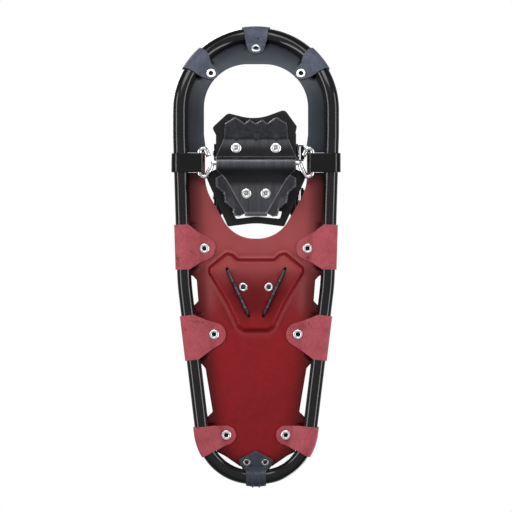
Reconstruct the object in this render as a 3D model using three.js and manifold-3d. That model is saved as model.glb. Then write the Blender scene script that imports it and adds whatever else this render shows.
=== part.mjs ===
// Left snowshoe: a bent aluminium tube carries a grey nose deck and a red main deck, and a binding
// with a steel toe crampon turns on a wire axle that two bands hold between the frame's sides.
// Millimetres, +Z up. The toe points to -Y and the wearer's left is +X. The crampons' tips are at
// z = 0, and the origin lies on that plane under the middle of the outline.
import * as THREE from "three";
import { mergeVertices } from "three/addons/utils/BufferGeometryUtils.js";
import Module from "manifold-3d";

const wasm = await Module();
wasm.setup();

// ---------------------------------------------------------------- driving dimensions
const GAP = 0.3; // between pieces that touch
const SHEET = 1.4; // deck sheet
const TUBE_R = 8.75;
const TUBE_WALL = 1.5;
const FRAME_Z = 24; // tube centreline above the crampon tips
const NOSE_Y = -274; // tube centreline at the toe end
const TAIL_Y = 271.7;
const NOSE_RISE_Y = -180; // the nose turns up in an arc from here
const NOSE_RISE_R = 133;
const TAIL_RISE_Y = 170; // and the tail, more gently, from here
const TAIL_RISE_R = 450;
const DECK_OFFSET = 5.7; // middle of the deck sheet above the tube centreline
const AXLE_Y = -115.5; // the binding turns about a line across the snowshoe here
const AXLE_Z = 21.5;
const AXLE_R = 3;
const RUBBER = 2.4; // thickness of the bands that hold the axle

// ---------------------------------------------------------------- solids and booleans
function solid(geometry) {
  const bare = geometry.clone();
  bare.deleteAttribute("normal");
  bare.deleteAttribute("uv");
  const merged = mergeVertices(bare, 1e-4);
  return new wasm.Manifold(
    new wasm.Mesh({
      numProp: 3,
      vertProperties: new Float32Array(merged.attributes.position.array),
      triVerts: new Uint32Array(merged.index.array),
    }),
  );
}

function geometryOf(made) {
  const mesh = made.getMesh();
  return new THREE.BufferGeometry()
    .setAttribute("position", new THREE.BufferAttribute(mesh.vertProperties, mesh.numProp))
    .setIndex(new THREE.BufferAttribute(mesh.triVerts, 1));
}

// Planes that a flat shape is extruded from: each basis lists where the shape's x, its y and the
// extrusion point.
const X = new THREE.Vector3(1, 0, 0);
const Y = new THREE.Vector3(0, 1, 0);
const Z = new THREE.Vector3(0, 0, 1);
const ORIGIN = new THREE.Vector3();
const PLAN = [X, Y, Z]; // drawn as (x, y), thickness along z
const SIDE = [Y, Z, X]; // drawn as (y, z), thickness along x
const FRONT = [X, Z, Y.clone().negate()]; // drawn as (x, z), thickness towards the toe

function extrude(shape, from, to, basis = PLAN, origin = ORIGIN, fine = 2) {
  const geometry = new THREE.ExtrudeGeometry(shape, {
    depth: to - from,
    bevelEnabled: false,
    curveSegments: fine,
  });
  geometry.translate(0, 0, from);
  const place = new THREE.Matrix4().makeBasis(...basis).setPosition(origin);
  return solid(geometry.applyMatrix4(place));
}

function boxSolid(low, high) {
  const size = high.map((v, i) => v - low[i]);
  const geometry = new THREE.BoxGeometry(...size);
  geometry.translate(...low.map((v, i) => v + size[i] / 2));
  return solid(geometry);
}

function rod(radius, from, to, sides = 8) {
  const along = new THREE.Vector3().subVectors(to, from);
  const geometry = new THREE.CylinderGeometry(radius, radius, along.length(), sides);
  geometry.applyQuaternion(new THREE.Quaternion().setFromUnitVectors(Y, along.clone().normalize()));
  geometry.translate(...from.clone().addScaledVector(along, 0.5));
  return solid(geometry);
}

const union = (list) => list.reduce((sum, next) => sum.add(next));
const less = (base, list) => list.reduce((rest, next) => rest.subtract(next), base);

// ---------------------------------------------------------------- flat outlines
const v2 = (x, y) => new THREE.Vector2(x, y);

// Corners [x, y, radius] joined by straight lines, with each corner rounded by an arc.
function roundedPath(corners, closed = true, made = new THREE.Shape()) {
  const n = corners.length;
  const at = (i) => v2(...corners[(i + n) % n]);
  corners.forEach(([x, y, radius = 0], i) => {
    const here = v2(x, y);
    const end = !closed && (i === 0 || i === n - 1);
    if (end || radius === 0) {
      if (i === 0) made.moveTo(x, y);
      else made.lineTo(x, y);
      return;
    }
    const back = at(i - 1).sub(here).normalize();
    const on = at(i + 1).sub(here).normalize();
    const half = Math.acos(THREE.MathUtils.clamp(back.dot(on), -1, 1)) / 2;
    const start = here.clone().addScaledVector(back, radius / Math.tan(half));
    const finish = here.clone().addScaledVector(on, radius / Math.tan(half));
    const centre = here.clone().addScaledVector(back.add(on).normalize(), radius / Math.sin(half));
    const angle = (p) => Math.atan2(p.y - centre.y, p.x - centre.x);
    const clockwise = start.clone().sub(here).cross(finish.clone().sub(here)) > 0;
    if (i === 0) made.moveTo(start.x, start.y);
    else made.lineTo(start.x, start.y);
    made.absarc(centre.x, centre.y, radius, angle(start), angle(finish), clockwise);
  });
  if (closed) made.closePath();
  return made;
}

// Corners for the side x > 0, mirrored to give the whole outline.
function mirrored(corners) {
  const other = corners
    .filter(([x]) => x > 0)
    .map(([x, y, radius]) => [-x, y, radius])
    .reverse();
  return roundedPath([...corners, ...other]);
}

// A bent sheet seen from its edge: the line through points, thickened to both sides.
function strip(points, thickness) {
  const line = points.map(([x, y]) => v2(x, y));
  const side = (sign) =>
    line.map((p, i) => {
      const before = line[Math.max(i - 1, 0)];
      const after = line[Math.min(i + 1, line.length - 1)];
      const a = i > 0 ? p.clone().sub(before).normalize() : after.clone().sub(p).normalize();
      const b = i < line.length - 1 ? after.clone().sub(p).normalize() : a;
      const along = a.clone().add(b).normalize();
      const reach = (sign * thickness) / 2 / Math.max(along.dot(a), 0.5);
      return v2(p.x - along.y * reach, p.y + along.x * reach);
    });
  return new THREE.Shape([...side(1), ...side(-1).reverse()]);
}

function arcPoints(cx, cy, radius, fromDegrees, toDegrees, steps) {
  return Array.from({ length: steps + 1 }, (_, i) => {
    const a = THREE.MathUtils.degToRad(fromDegrees + ((toDegrees - fromDegrees) * i) / steps);
    return [cx + radius * Math.cos(a), cy + radius * Math.sin(a)];
  });
}

function capsule(ax, ay, bx, by, radius) {
  const a = Math.atan2(by - ay, bx - ax);
  const shape = new THREE.Shape();
  shape.absarc(bx, by, radius, a - Math.PI / 2, a + Math.PI / 2, false);
  shape.absarc(ax, ay, radius, a + Math.PI / 2, a + 1.5 * Math.PI, false);
  return shape;
}

const circle = (x, y, radius) => new THREE.Shape().absarc(x, y, radius, 0, 2 * Math.PI, false);

// ---------------------------------------------------------------- the frame's line
// The frame's centreline in plan, from the toe end round the +X side to the tail.
const TAIL_CORNER_R = 62;
const FRAME_CORNERS = [
  [0, NOSE_Y],
  [93.4, NOSE_Y, 93],
  [93.4, -150, 400],
  [88, 32.5, 300],
  [59.3, TAIL_Y, TAIL_CORNER_R],
  [0, TAIL_Y],
];
const framePlan = roundedPath(FRAME_CORNERS, false, new THREE.Path());

// Height of the frame's centreline above its flat middle, and its slope, at y.
function rise(y) {
  const arc = (far, radius) => radius - Math.sqrt(radius * radius - far * far);
  if (y < NOSE_RISE_Y) return arc(NOSE_RISE_Y - y, NOSE_RISE_R);
  return y > TAIL_RISE_Y ? arc(y - TAIL_RISE_Y, TAIL_RISE_R) : 0;
}

function slope(y) {
  const tilt = (far, radius) => far / Math.sqrt(radius * radius - far * far);
  if (y < NOSE_RISE_Y) return -tilt(NOSE_RISE_Y - y, NOSE_RISE_R);
  return y > TAIL_RISE_Y ? tilt(y - TAIL_RISE_Y, TAIL_RISE_R) : 0;
}

const upAt = (y) => new THREE.Vector3(0, -slope(y), 1).normalize();
const onFrame = (x, y) => new THREE.Vector3(x, y, FRAME_Z + rise(y));

// A place on the frame with its own axes: inward across the deck, up, and along the tube.
function station(side, p, t) {
  const up = upAt(p.y);
  const along = new THREE.Vector3(side * t.x, t.y, slope(p.y) * t.y).normalize();
  const inward = new THREE.Vector3().crossVectors(up, along).multiplyScalar(side);
  return { point: onFrame(side * p.x, p.y), inward, up, along };
}

// A place inward of a station and above the tube's middle. Beyond the tube it follows the deck.
function beside({ point, inward, up }, across, above, shift = new THREE.Vector3()) {
  const flat = point.clone().addScaledVector(inward, across).add(shift);
  if (across < TUBE_R + 2) return flat.addScaledVector(up, above);
  return onFrame(flat.x, flat.y).addScaledVector(upAt(flat.y), above);
}

const stationAt = (side, share) =>
  station(side, framePlan.getPointAt(share), framePlan.getTangentAt(share));

// Stations down the +X side, close together where the frame bends.
const bends = framePlan.curves.filter((curve) => curve.getLength() > 0.01);
const halfFrame = bends.flatMap((curve, i, all) => {
  const bend = curve.isEllipseCurve ? Math.abs(curve.aEndAngle - curve.aStartAngle) : 0;
  const turns = bend % (2 * Math.PI);
  const steps = Math.ceil(Math.max(Math.min(turns, 2 * Math.PI - turns) / 0.13, curve.getLength() / 32));
  const count = steps + (i === all.length - 1 ? 1 : 0);
  return Array.from({ length: count }, (_, k) =>
    station(1, curve.getPoint(k / steps), curve.getTangent(k / steps)),
  );
});

// How far along the frame's half, as a share of it, the tube passes y.
function shareAtY(y) {
  let low = 0;
  let high = 1;
  while (high - low > 1e-5) {
    const middle = (low + high) / 2;
    if (framePlan.getPointAt(middle).y < y) low = middle;
    else high = middle;
  }
  return low;
}

// A sheet's edge profile (x inward, y up) carried along stations of the frame.
function carried(profile, stations) {
  const ring = profile.extractPoints(1).shape;
  if (THREE.ShapeUtils.isClockWise(ring)) ring.reverse();
  const at = stations.flatMap((s) => ring.map((p) => beside(s, p.x, p.y)));
  const n = ring.length;
  const faces = [];
  for (let i = 0; i < stations.length - 1; i++) {
    for (let j = 0; j < n; j++) {
      const a = i * n + j;
      const b = i * n + ((j + 1) % n);
      faces.push([a, b, b + n], [a, b + n, a + n]);
    }
  }
  const last = (stations.length - 1) * n;
  for (const [a, b, c] of THREE.ShapeUtils.triangulateShape(ring, [])) {
    faces.push([c, b, a], [a + last, b + last, c + last]);
  }
  const ahead = stations[1].point.clone().sub(stations[0].point);
  const facing = new THREE.Vector3().crossVectors(stations[0].inward, stations[0].up).dot(ahead);
  const order = facing > 0 ? faces : faces.map(([a, b, c]) => [a, c, b]);
  return solid(new THREE.BufferGeometry().setFromPoints(at).setIndex(order.flat()));
}

// ---------------------------------------------------------------- tubes and wires
// A line through given points: a sweep has one step at each of them.
class ThroughPoints extends THREE.Curve {
  constructor(points) {
    super();
    this.points = points;
  }
  getPoint(t) {
    const place = t * (this.points.length - 1);
    const i = Math.min(Math.floor(place), this.points.length - 2);
    return this.points[i].clone().lerp(this.points[i + 1], place - i);
  }
  getPointAt(t) {
    return this.getPoint(t);
  }
  getTangentAt(t) {
    const step = 0.5 / (this.points.length - 1);
    const ahead = this.getPoint(Math.min(t + step, 1));
    return ahead.sub(this.getPoint(Math.max(t - step, 0))).normalize();
  }
}

function ringOf(radius, sides) {
  return Array.from({ length: sides }, (_, i) => {
    const a = (2 * Math.PI * i) / sides;
    return v2(radius * Math.cos(a), radius * Math.sin(a));
  });
}

function sweep(points, radius, sides, holeRadius = 0) {
  const shape = new THREE.Shape(ringOf(radius, sides));
  if (holeRadius) shape.holes.push(new THREE.Path(ringOf(holeRadius, 6)));
  return new THREE.ExtrudeGeometry(shape, {
    steps: points.length - 1,
    extrudePath: new ThroughPoints(points),
  });
}

// The tube is bent from one length, whose ends meet END_GAP apart in the middle of the tail.
const END_GAP = 1;
function frameTube() {
  const right = halfFrame.map((s) => s.point.clone());
  right[right.length - 1].x = END_GAP / 2;
  const left = right.slice(1).map((p) => new THREE.Vector3(-p.x, p.y, p.z));
  return sweep([...left.reverse(), ...right], TUBE_R, 12, TUBE_R - TUBE_WALL);
}

// The tube's line across the middle of the tail.
function tailLine(halfLength) {
  return Array.from({ length: 9 }, (_, i) => {
    const x = -halfLength + (2 * halfLength * i) / 8;
    const bent = Math.max(Math.abs(x) - 4.3, 0); // the tail is straight this far to each side
    return onFrame(x, TAIL_Y - TAIL_CORNER_R + Math.sqrt(TAIL_CORNER_R ** 2 - bent * bent));
  });
}

// The plug inside the tube that joins its ends.
function tailFerrule() {
  return sweep(tailLine(24), TUBE_R - TUBE_WALL - 1.2, 8, 3);
}

// ---------------------------------------------------------------- rivets
// A rivet through a stack of sheets: a domed head on top, a rolled rim with a blind bore below.
// place is on the stack's underside and up points through it.
function rivet({ place, up, grip, shank = 2.8, head = 5, rim = 6.1, bore = 2.6, clear = 0.3 }) {
  const deep = Math.min(grip * 0.5, 1.6);
  const profile = [
    [0, grip + clear + 1.5],
    [head * 0.7, grip + clear + 1.1],
    [head, grip + clear],
    [shank, grip + clear],
    [shank, -clear],
    [rim, -clear],
    [rim * 0.8, -clear - 1],
    [bore, -clear - 0.8],
    [bore * 0.8, deep],
    [0, deep],
  ].map(([r, z]) => v2(r, z));
  const geometry = new THREE.LatheGeometry(profile.reverse(), 8);
  geometry.applyQuaternion(new THREE.Quaternion().setFromUnitVectors(Y, up));
  geometry.translate(place.x, place.y, place.z);
  return solid(geometry);
}

// The hole for it.
function rivetHole({ place, up, grip, shank = 2.8, play = 0.15 }) {
  const from = place.clone().addScaledVector(up, -8);
  const to = place.clone().addScaledVector(up, grip + 8);
  return rod(shank + play, from, to);
}

const withHoles = (base, rivets) => less(base, rivets.map(rivetHole));

// ---------------------------------------------------------------- wraps
// The sheet's line across a wrap: in from the deck, over the tube, round it and back under the
// deck to the end of the tongue.
const UNDER = DECK_OFFSET - SHEET - 0.1;
const WRAP_GAP = 0.55;
function wrapProfile(rivetIn, reach, steps) {
  const radius = TUBE_R + WRAP_GAP + SHEET / 2;
  const touch = (x, y, sign) => {
    const turn = Math.atan2(y, x) + sign * Math.acos(radius / Math.hypot(x, y));
    return THREE.MathUtils.radToDeg(turn);
  };
  const upper = [radius + 8, DECK_OFFSET];
  const lower = [Math.max(rivetIn - 7.2, radius + 1), UNDER];
  const round = arcPoints(0, 0, radius, touch(...upper, 1), 360 + touch(...lower, -1), steps);
  const tongue = [lower, [rivetIn, UNDER], [rivetIn + reach, UNDER]];
  return strip([[radius + 9, DECK_OFFSET], upper, ...round, ...tongue], SHEET);
}

// A wrap's flat outline, drawn as (along the frame, inward): sides that run from the tube to the
// round end at its rivet.
function tongueShape({ halfWidth, rivetIn, shift = 0, end }) {
  const out = -TUBE_R - 6;
  const touch = (x, sign) => {
    const dx = x - shift;
    const dy = out - rivetIn;
    return Math.atan2(dy, dx) + sign * Math.acos(end / Math.hypot(dx, dy));
  };
  const shape = new THREE.Shape();
  shape.moveTo(-halfWidth, out);
  shape.lineTo(halfWidth, out);
  shape.absarc(shift, rivetIn, end, touch(halfWidth, 1), touch(-halfWidth, -1), false);
  shape.closePath();
  return shape;
}

// A tab of a deck that wraps the tube. share is its place along the frame's half, rivetIn how far
// in from the tube its rivet is, and shift how far along.
function wrapTab(tab) {
  const middle = stationAt(tab.side, tab.share);
  const spread = (tab.halfWidth + 5) / framePlan.getLength();
  const stations = Array.from({ length: tab.steps + 1 }, (_, i) => {
    const share = tab.share + ((2 * i) / tab.steps - 1) * spread;
    const mirror = share < 0;
    return stationAt(mirror ? -tab.side : tab.side, Math.abs(share));
  });
  const swept = carried(wrapProfile(tab.rivetIn, tab.end + 1, tab.round), stations);
  const across = new THREE.Vector3().crossVectors(middle.along, middle.inward);
  const basis = [middle.along, middle.inward, across];
  return swept.intersect(extrude(tongueShape(tab), -30, 30, basis, middle.point));
}

// The flat sheet gives way to the wrap in front of the tube.
function wrapNotch(tab) {
  const { point, inward, along } = stationAt(tab.side, tab.share);
  const half = tab.halfWidth - 0.2;
  const shape = new THREE.Shape([v2(-half, -20), v2(half, -20), v2(half, 18.2), v2(-half, 18.2)]);
  const across = new THREE.Vector3().crossVectors(along, inward);
  return extrude(shape, -14, 14, [along, inward, across], point);
}

function tabRivet({ side, share, rivetIn, shift = 0 }) {
  const at = stationAt(side, share);
  const place = beside(at, rivetIn, UNDER - SHEET / 2, at.along.clone().multiplyScalar(shift));
  return { place, up: upAt(place.y), grip: 2 * SHEET + 0.1 };
}

const NOSE_TABS = [
  { name: "centre", side: 1, share: 0, halfWidth: 15.4, rivetIn: 22.4, end: 10, steps: 6, round: 9 },
  ...[-1, 1].map((side) => ({
    name: side < 0 ? "right" : "left",
    side,
    share: shareAtY(-238.6),
    halfWidth: 14.5,
    rivetIn: 22,
    shift: 0,
    end: 9,
    steps: 6,
    round: 9,
  })),
];
const MAIN_TABS = [
  { row: "front", y: -11.7, halfWidth: 27.6, rivetIn: 25.6, shift: 2.5, end: 14 },
  { row: "middle", y: 99.7, halfWidth: 27.6, rivetIn: 28.5, shift: -0.5, end: 14.5 },
  { row: "rear", y: 225.7, halfWidth: 17.2, rivetIn: 28, shift: 1.8, end: 12 },
].flatMap((tab) =>
  [-1, 1].map((side) => ({
    ...tab,
    name: `${tab.row}_${side < 0 ? "right" : "left"}`,
    side,
    share: shareAtY(tab.y),
    steps: tab.row === "rear" ? 5 : 1,
    round: 9,
  })),
);
const NOSE_RIVETS = NOSE_TABS.map((tab) => ({ name: tab.name, ...tabRivet(tab), clear: 0.9 }));
const MAIN_RIVETS = MAIN_TABS.map((tab) => ({ name: tab.name, ...tabRivet(tab) }));

// ---------------------------------------------------------------- decks
// A deck sheet from one y to another, following the frame's rise.
function deckSlab(fromY, toY) {
  const count = Math.ceil((toY - fromY) / 10);
  const bent = (y) => y < NOSE_RISE_Y + 1 || y > TAIL_RISE_Y - 1;
  const ys = Array.from({ length: count + 1 }, (_, i) => fromY + ((toY - fromY) * i) / count);
  const line = ys
    .filter((y, i) => i === 0 || i === count || bent(y))
    .map((y) => {
      const up = upAt(y);
      return [y + up.y * DECK_OFFSET, FRAME_Z + rise(y) + up.z * DECK_OFFSET];
    });
  return extrude(strip(line, SHEET), -110, 110, SIDE);
}

// The sheet's edge beside the tube, in plan.
function insideFrame(inset) {
  const right = halfFrame.map(({ point, inward, up }) =>
    point.clone().addScaledVector(inward, inset).addScaledVector(up, DECK_OFFSET),
  );
  const left = right.slice(1, -1).reverse();
  return new THREE.Shape([...right.map((p) => v2(p.x, p.y)), ...left.map((p) => v2(-p.x, p.y))]);
}

const RAIL_CLEAR = 7.9;
const NOSE_OPENING = [
  [64, -237.4, 54],
  [64, -150, 30],
  [62.2, -136],
  [62.2, -120],
];
const TOE_OPENING = [
  [62.6, -140],
  [62.6, -84, 56],
  [27, -22.1, 43],
];
const RAIL_GAPS = [
  [[110, 23.6], [78, 23.6], [73, 28.7], [71, 54.7], [76, 59.8], [110, 59.8]],
  [[110, 132.1], [66.9, 132.1], [62.2, 137.5], [53.3, 191], [60, 197.3], [110, 197.3]],
];
const DECK_END = [
  [19.8, 258.2],
  [38.1, 245.5, 30],
  [47.6, 240.3, 10],
  [66, 236],
  [110, 236],
  [110, 300],
];
const BAND_HALF = 11.9;
const BAND_NOTCH = [73, AXLE_Y - 20, AXLE_Y + BAND_HALF + 0.6];

function noseDeck() {
  const sheet = deckSlab(-276, AXLE_Y - BAND_HALF - 2.2).intersect(extrude(insideFrame(RAIL_CLEAR), 0, 90));
  const open = less(sheet, [extrude(mirrored(NOSE_OPENING), 0, 90, PLAN, ORIGIN, 5), ...NOSE_TABS.map(wrapNotch)]);
  return withHoles(union([open, ...NOSE_TABS.map(wrapTab)]), NOSE_RIVETS);
}

// The heel plateau, pressed down out of the sheet.
const PLATEAU = [
  [21.9, 2.2, 3],
  [27.7, -3.4, 4],
  [36, -6, 6],
  [59, 12.7, 6],
  [59.6, 20, 6],
  [36.5, 58.8, 20],
  [23.7, 86.2, 6],
  [16, 92.6, 6],
];
const PLATEAU_MIDDLE = v2(0, 40);
const PLATEAU_FLOOR = 22; // its underside
const DECK_TOP = FRAME_Z + DECK_OFFSET + SHEET / 2;
const STEEL = 2;

// An outline drawn up from one size to another.
function drawn(corners, from, to, lower, upper) {
  const geometry = new THREE.ExtrudeGeometry(mirrored(corners), {
    depth: to - from,
    bevelEnabled: false,
    curveSegments: 2,
  });
  const at = geometry.attributes.position;
  for (let i = 0; i < at.count; i++) {
    const size = at.getZ(i) > 0.1 ? upper : lower;
    const x = PLATEAU_MIDDLE.x + (at.getX(i) - PLATEAU_MIDDLE.x) * size;
    const y = PLATEAU_MIDDLE.y + (at.getY(i) - PLATEAU_MIDDLE.y) * size;
    at.setXYZ(i, x, y, at.getZ(i) + from);
  }
  return solid(geometry);
}

const BLADE_TOP = [34.8, 17];
const BLADE_LOW = [10, 70.5];
function bladeBasis(side) {
  const along = new THREE.Vector3(side * (BLADE_LOW[0] - BLADE_TOP[0]), BLADE_LOW[1] - BLADE_TOP[1], 0);
  along.normalize();
  const down = Z.clone().negate();
  return [along, down, new THREE.Vector3().crossVectors(along, down)];
}
const BLADE_LENGTH = Math.hypot(BLADE_LOW[0] - BLADE_TOP[0], BLADE_LOW[1] - BLADE_TOP[1]);

const HEEL_RIVETS = [-1, 1].map((side) => ({
  name: side < 0 ? "right" : "left",
  place: new THREE.Vector3(side * 16, 37.6, PLATEAU_FLOOR),
  up: Z,
  grip: 8,
  rim: 5.5,
  bore: 2.6,
}));

function mainDeck() {
  const flat = deckSlab(AXLE_Y - BAND_HALF - 1.5, 262).intersect(extrude(insideFrame(RAIL_CLEAR), 0, 70));
  const [notchX, notchFrom, notchTo] = BAND_NOTCH;
  const gaps = RAIL_GAPS.flatMap((gap) =>
    [1, -1].map((side) => {
      const corners = gap.map(([x, y]) => v2(side * x, y));
      return extrude(new THREE.Shape(corners), 0, 70);
    }),
  );
  const open = less(flat, [
    extrude(mirrored(TOE_OPENING), 0, 70, PLAN, ORIGIN, 4),
    extrude(mirrored(DECK_END), 0, 70),
    boxSolid([notchX, notchFrom, 0], [110, notchTo, 70]),
    boxSolid([-110, notchFrom, 0], [-notchX, notchTo, 70]),
    ...gaps,
    ...MAIN_TABS.map(wrapNotch),
    drawn(PLATEAU, 0, 70, 1, 1),
  ]);
  const cup = drawn(PLATEAU, PLATEAU_FLOOR, DECK_TOP, 0.89, 1.006).subtract(
    drawn(PLATEAU, PLATEAU_FLOOR + SHEET, DECK_TOP + 0.1, 0.87, 0.97),
  );
  const slots = [-1, 1].map((side) =>
    extrude(
      capsule(-1.5, 0, BLADE_LENGTH + 1.5, 0, STEEL / 2 + 0.6),
      PLATEAU_FLOOR - 1,
      PLATEAU_FLOOR + SHEET + 1,
      [bladeBasis(side)[0], new THREE.Vector3().crossVectors(Z, bladeBasis(side)[0]), Z],
      new THREE.Vector3(side * BLADE_TOP[0], BLADE_TOP[1], 0),
    ),
  );
  const sheet = union([open, cup, ...MAIN_TABS.map(wrapTab)]);
  return withHoles(less(sheet, slots), [...MAIN_RIVETS, ...HEEL_RIVETS, ...TAIL_RIVETS]);
}

// ---------------------------------------------------------------- heel crampon and pad
// A plate in the plateau's recess with two serrated blades bent down through its slots.
const WEB_Z = PLATEAU_FLOOR + SHEET + GAP;
function heelCrampon() {
  const top = WEB_Z + STEEL;
  const teeth = [
    [0, 0], [BLADE_LENGTH, 0], [BLADE_LENGTH + 0.5, 14], [50, top], [41, 15], [32, top],
    [23, 15], [14, top], [4, 13], [-0.5, 8],
  ];
  const blades = [-1, 1].map((side) =>
    extrude(
      new THREE.Shape(teeth.map(([x, y]) => v2(x, y))),
      -STEEL / 2,
      STEEL / 2,
      bladeBasis(side),
      new THREE.Vector3(side * BLADE_TOP[0], BLADE_TOP[1], top),
    ),
  );
  const web = mirrored([
    [14, 20, 5],
    [36, 16.6],
    [11, 70.2],
    [5, 60, 5],
  ]);
  return withHoles(union([extrude(web, WEB_Z, top), ...blades]), HEEL_RIVETS);
}

const PAD_TOP = 34;
function heelPad() {
  const low = WEB_Z + STEEL + GAP;
  const body = drawn(PLATEAU, low, DECK_TOP + 1, 0.88, 0.93);
  const flange = drawn(PLATEAU, DECK_TOP + GAP, PAD_TOP, 1.1, 1.06);
  const wells = HEEL_RIVETS.map(({ place }) =>
    rod(6.3, new THREE.Vector3(place.x, place.y, 30), new THREE.Vector3(place.x, place.y, 40)),
  );
  const grooves = [-4, 68].map((y) => boxSolid([-30, y, PAD_TOP - 1.2], [30, y + 3, PAD_TOP + 1]));
  return withHoles(less(union([body, flange]), [...wells, ...grooves]), HEEL_RIVETS);
}

// ---------------------------------------------------------------- tail clip
// A moulded clip over the joint in the tube: it closes round the tube and grips the deck's end.
const CLIP = 2.6;
const tail = stationAt(1, 1);
const CLIP_UNDER = DECK_OFFSET - SHEET / 2 - GAP - CLIP;
const TAIL_RIVETS = [-1, 1].map((side) => ({
  name: side < 0 ? "right" : "left",
  place: beside(tail, 18.2, CLIP_UNDER, new THREE.Vector3(side * 11.4, 0, 0)),
  up: upAt(255),
  grip: 2 * CLIP + 2 * GAP + SHEET,
  shank: 2.2,
  head: 4,
  rim: 4.6,
  bore: 2.2,
}));

function tailClip() {
  const radius = TUBE_R + 0.5 + CLIP / 2;
  const under = CLIP_UNDER + CLIP / 2;
  const over = DECK_OFFSET + SHEET / 2 + GAP + CLIP / 2;
  const edge = (list) =>
    list.map(([across, above]) => {
      const place = beside(tail, across, above);
      return [place.y, place.z];
    });
  const line = [[36, over], [25, over], [15, over], ...arcPoints(0, 0, radius, 65, 340, 9)];
  line.push([12.4, under], [24, under], [36, under]);
  const body = extrude(strip(edge(line), CLIP), -24, 24, SIDE);
  const outline = roundedPath([
    [0, 238.6, 6],
    [20.5, 248.4, 3],
    [20.4, 252.5, 2],
    [18.6, 258.2, 6],
    [13, 268.5, 8],
    [12.2, 290],
    [-12.2, 290],
    [-13, 268.5, 8],
    [-18.6, 258.2, 6],
    [-20.4, 252.5, 2],
    [-20.5, 248.4, 3],
  ]);
  const rib = strip(edge(arcPoints(0, 0, radius + 1.2, 150, 290, 8)), CLIP);
  const ribs = [-4, 4].map((x) => extrude(rib, x - 1, x + 1, SIDE));
  const whole = union([body, ...ribs]).intersect(extrude(outline, 0, 90));
  const bed = solid(sweep(tailLine(30), TUBE_R + GAP, 12));
  return withHoles(whole.subtract(bed), TAIL_RIVETS);
}

// ---------------------------------------------------------------- axle
// One bent wire: a straight axle, closed at each end into a ring that a band holds.
const RING_X = 69.5;
function axleWire() {
  const end = [
    [-53.9, AXLE_Y, 3.5],
    [-55.6, -109, 3.5],
    [-63.6, -94.5, 4.5],
    [-RING_X, -102.5, 4],
    [-RING_X, -130, 4.5],
    [-64, -136.5, 4],
    [-58.2, -123.2],
  ];
  const other = end.map(([x, y, radius]) => [-x, y, radius]);
  const line = roundedPath([...end.reverse(), ...other], false, new THREE.Path());
  const points = line.getPoints(2).filter((p, i, all) => i === 0 || p.distanceTo(all[i - 1]) > 0.6);
  return sweep(points.map((p) => new THREE.Vector3(p.x, p.y, AXLE_Z)), AXLE_R, 8);
}

// A rubber band looped round the tube and round the wire's straight side.
function pivotBand(side) {
  const tubeX = framePlan.getPointAt(shareAtY(AXLE_Y)).x;
  const big = TUBE_R + 0.6;
  const small = AXLE_R + GAP;
  const loop = (grow) => {
    const [r, s] = [big + grow, small + grow];
    const [dx, dz] = [tubeX - RING_X, FRAME_Z - AXLE_Z];
    const tilt = Math.atan2(dz, dx);
    const open = Math.acos((r - s) / Math.hypot(dx, dz));
    const shape = new THREE.Shape();
    shape.absarc(tubeX, FRAME_Z, r, tilt - Math.PI + open, tilt + Math.PI - open, false);
    shape.absarc(RING_X, AXLE_Z, s, tilt + Math.PI - open, tilt + Math.PI + open, false);
    shape.closePath();
    return shape;
  };
  const place = side > 0 ? FRONT : [X.clone().negate(), Z, Y];
  const from = side > 0 ? -AXLE_Y - BAND_HALF : AXLE_Y - BAND_HALF;
  const make = (shape) => extrude(shape, from, from + 2 * BAND_HALF, place, ORIGIN, 6);
  return make(loop(RUBBER)).subtract(make(loop(0)));
}

// ---------------------------------------------------------------- toe crampon
const PLATE_Z = 24.6; // underside of its plate
const BEND_Y = -145.6;
const CRAMPON_RIVETS = [
  { name: "front_right", at: [-24.4, -133.6] },
  { name: "front_left", at: [24.4, -133.6] },
  { name: "rear_right", at: [-12.2, -77.4] },
  { name: "rear_left", at: [12.2, -77.4] },
].map(({ name, at: [x, y] }) => ({
  name,
  place: new THREE.Vector3(x, y, PLATE_Z),
  up: Z,
  grip: STEEL + GAP + 4,
  shank: 3.2,
  head: 5.2,
  rim: 6.4,
  bore: 3,
}));

function toeCrampon() {
  const z = PLATE_Z + STEEL / 2;
  const channelLow = AXLE_Z - AXLE_R - GAP - STEEL / 2;
  const channel = [
    [-8, z], [-6.4, z - 1.6], [-4.9, channelLow + 2.4], [-3.7, channelLow + 0.7], [-1.5, channelLow],
    [3, channelLow], [5.2, channelLow + 0.7], [7.1, channelLow + 2.4], [11.2, z - 1.6], [13.4, z],
  ].map(([across, height]) => [AXLE_Y + across, height]);
  const line = [[BEND_Y - z - 1, -1], [BEND_Y, z], ...channel, [-50, z]];
  const plate = mirrored([
    [13, -50, 3], [42.3, -101.2, 2], [48.8, -107.5], [48.8, -116], [50, -121.5, 2],
    [39.4, BEND_Y], [38, -163], [25.1, -171.6, 2], [13.9, -163, 2], [7.9, -167.6, 2], [0, -163],
  ]);
  const bed = extrude(strip(line, STEEL), -60, 60, SIDE).intersect(extrude(plate, 0, 60));
  const claws = [-1, 1].map((side) => {
    const along = new THREE.Vector3(-28.9 * side, 50.1, 0).normalize();
    const out = new THREE.Vector3(50.1 * side, 28.9, 0).normalize();
    const lean = THREE.MathUtils.degToRad(62.5);
    const down = out.multiplyScalar(Math.cos(lean)).addScaledVector(Z, -Math.sin(lean));
    const teeth = [
      [1, -0.5], [1, 17], [10.3, 27.9], [22, 18.5], [32.4, 27.9], [44.5, 18.5], [52.5, 25], [56.4, 14],
      [56.4, -0.5],
    ];
    return extrude(
      new THREE.Shape(teeth.map(([x, y]) => v2(x, y))),
      -STEEL / 2,
      STEEL / 2,
      [along, down, new THREE.Vector3().crossVectors(along, down)],
      new THREE.Vector3(42.3 * side, -101.6, z - 0.2),
    );
  });
  return withHoles(union([bed, ...claws]), CRAMPON_RIVETS);
}

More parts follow.
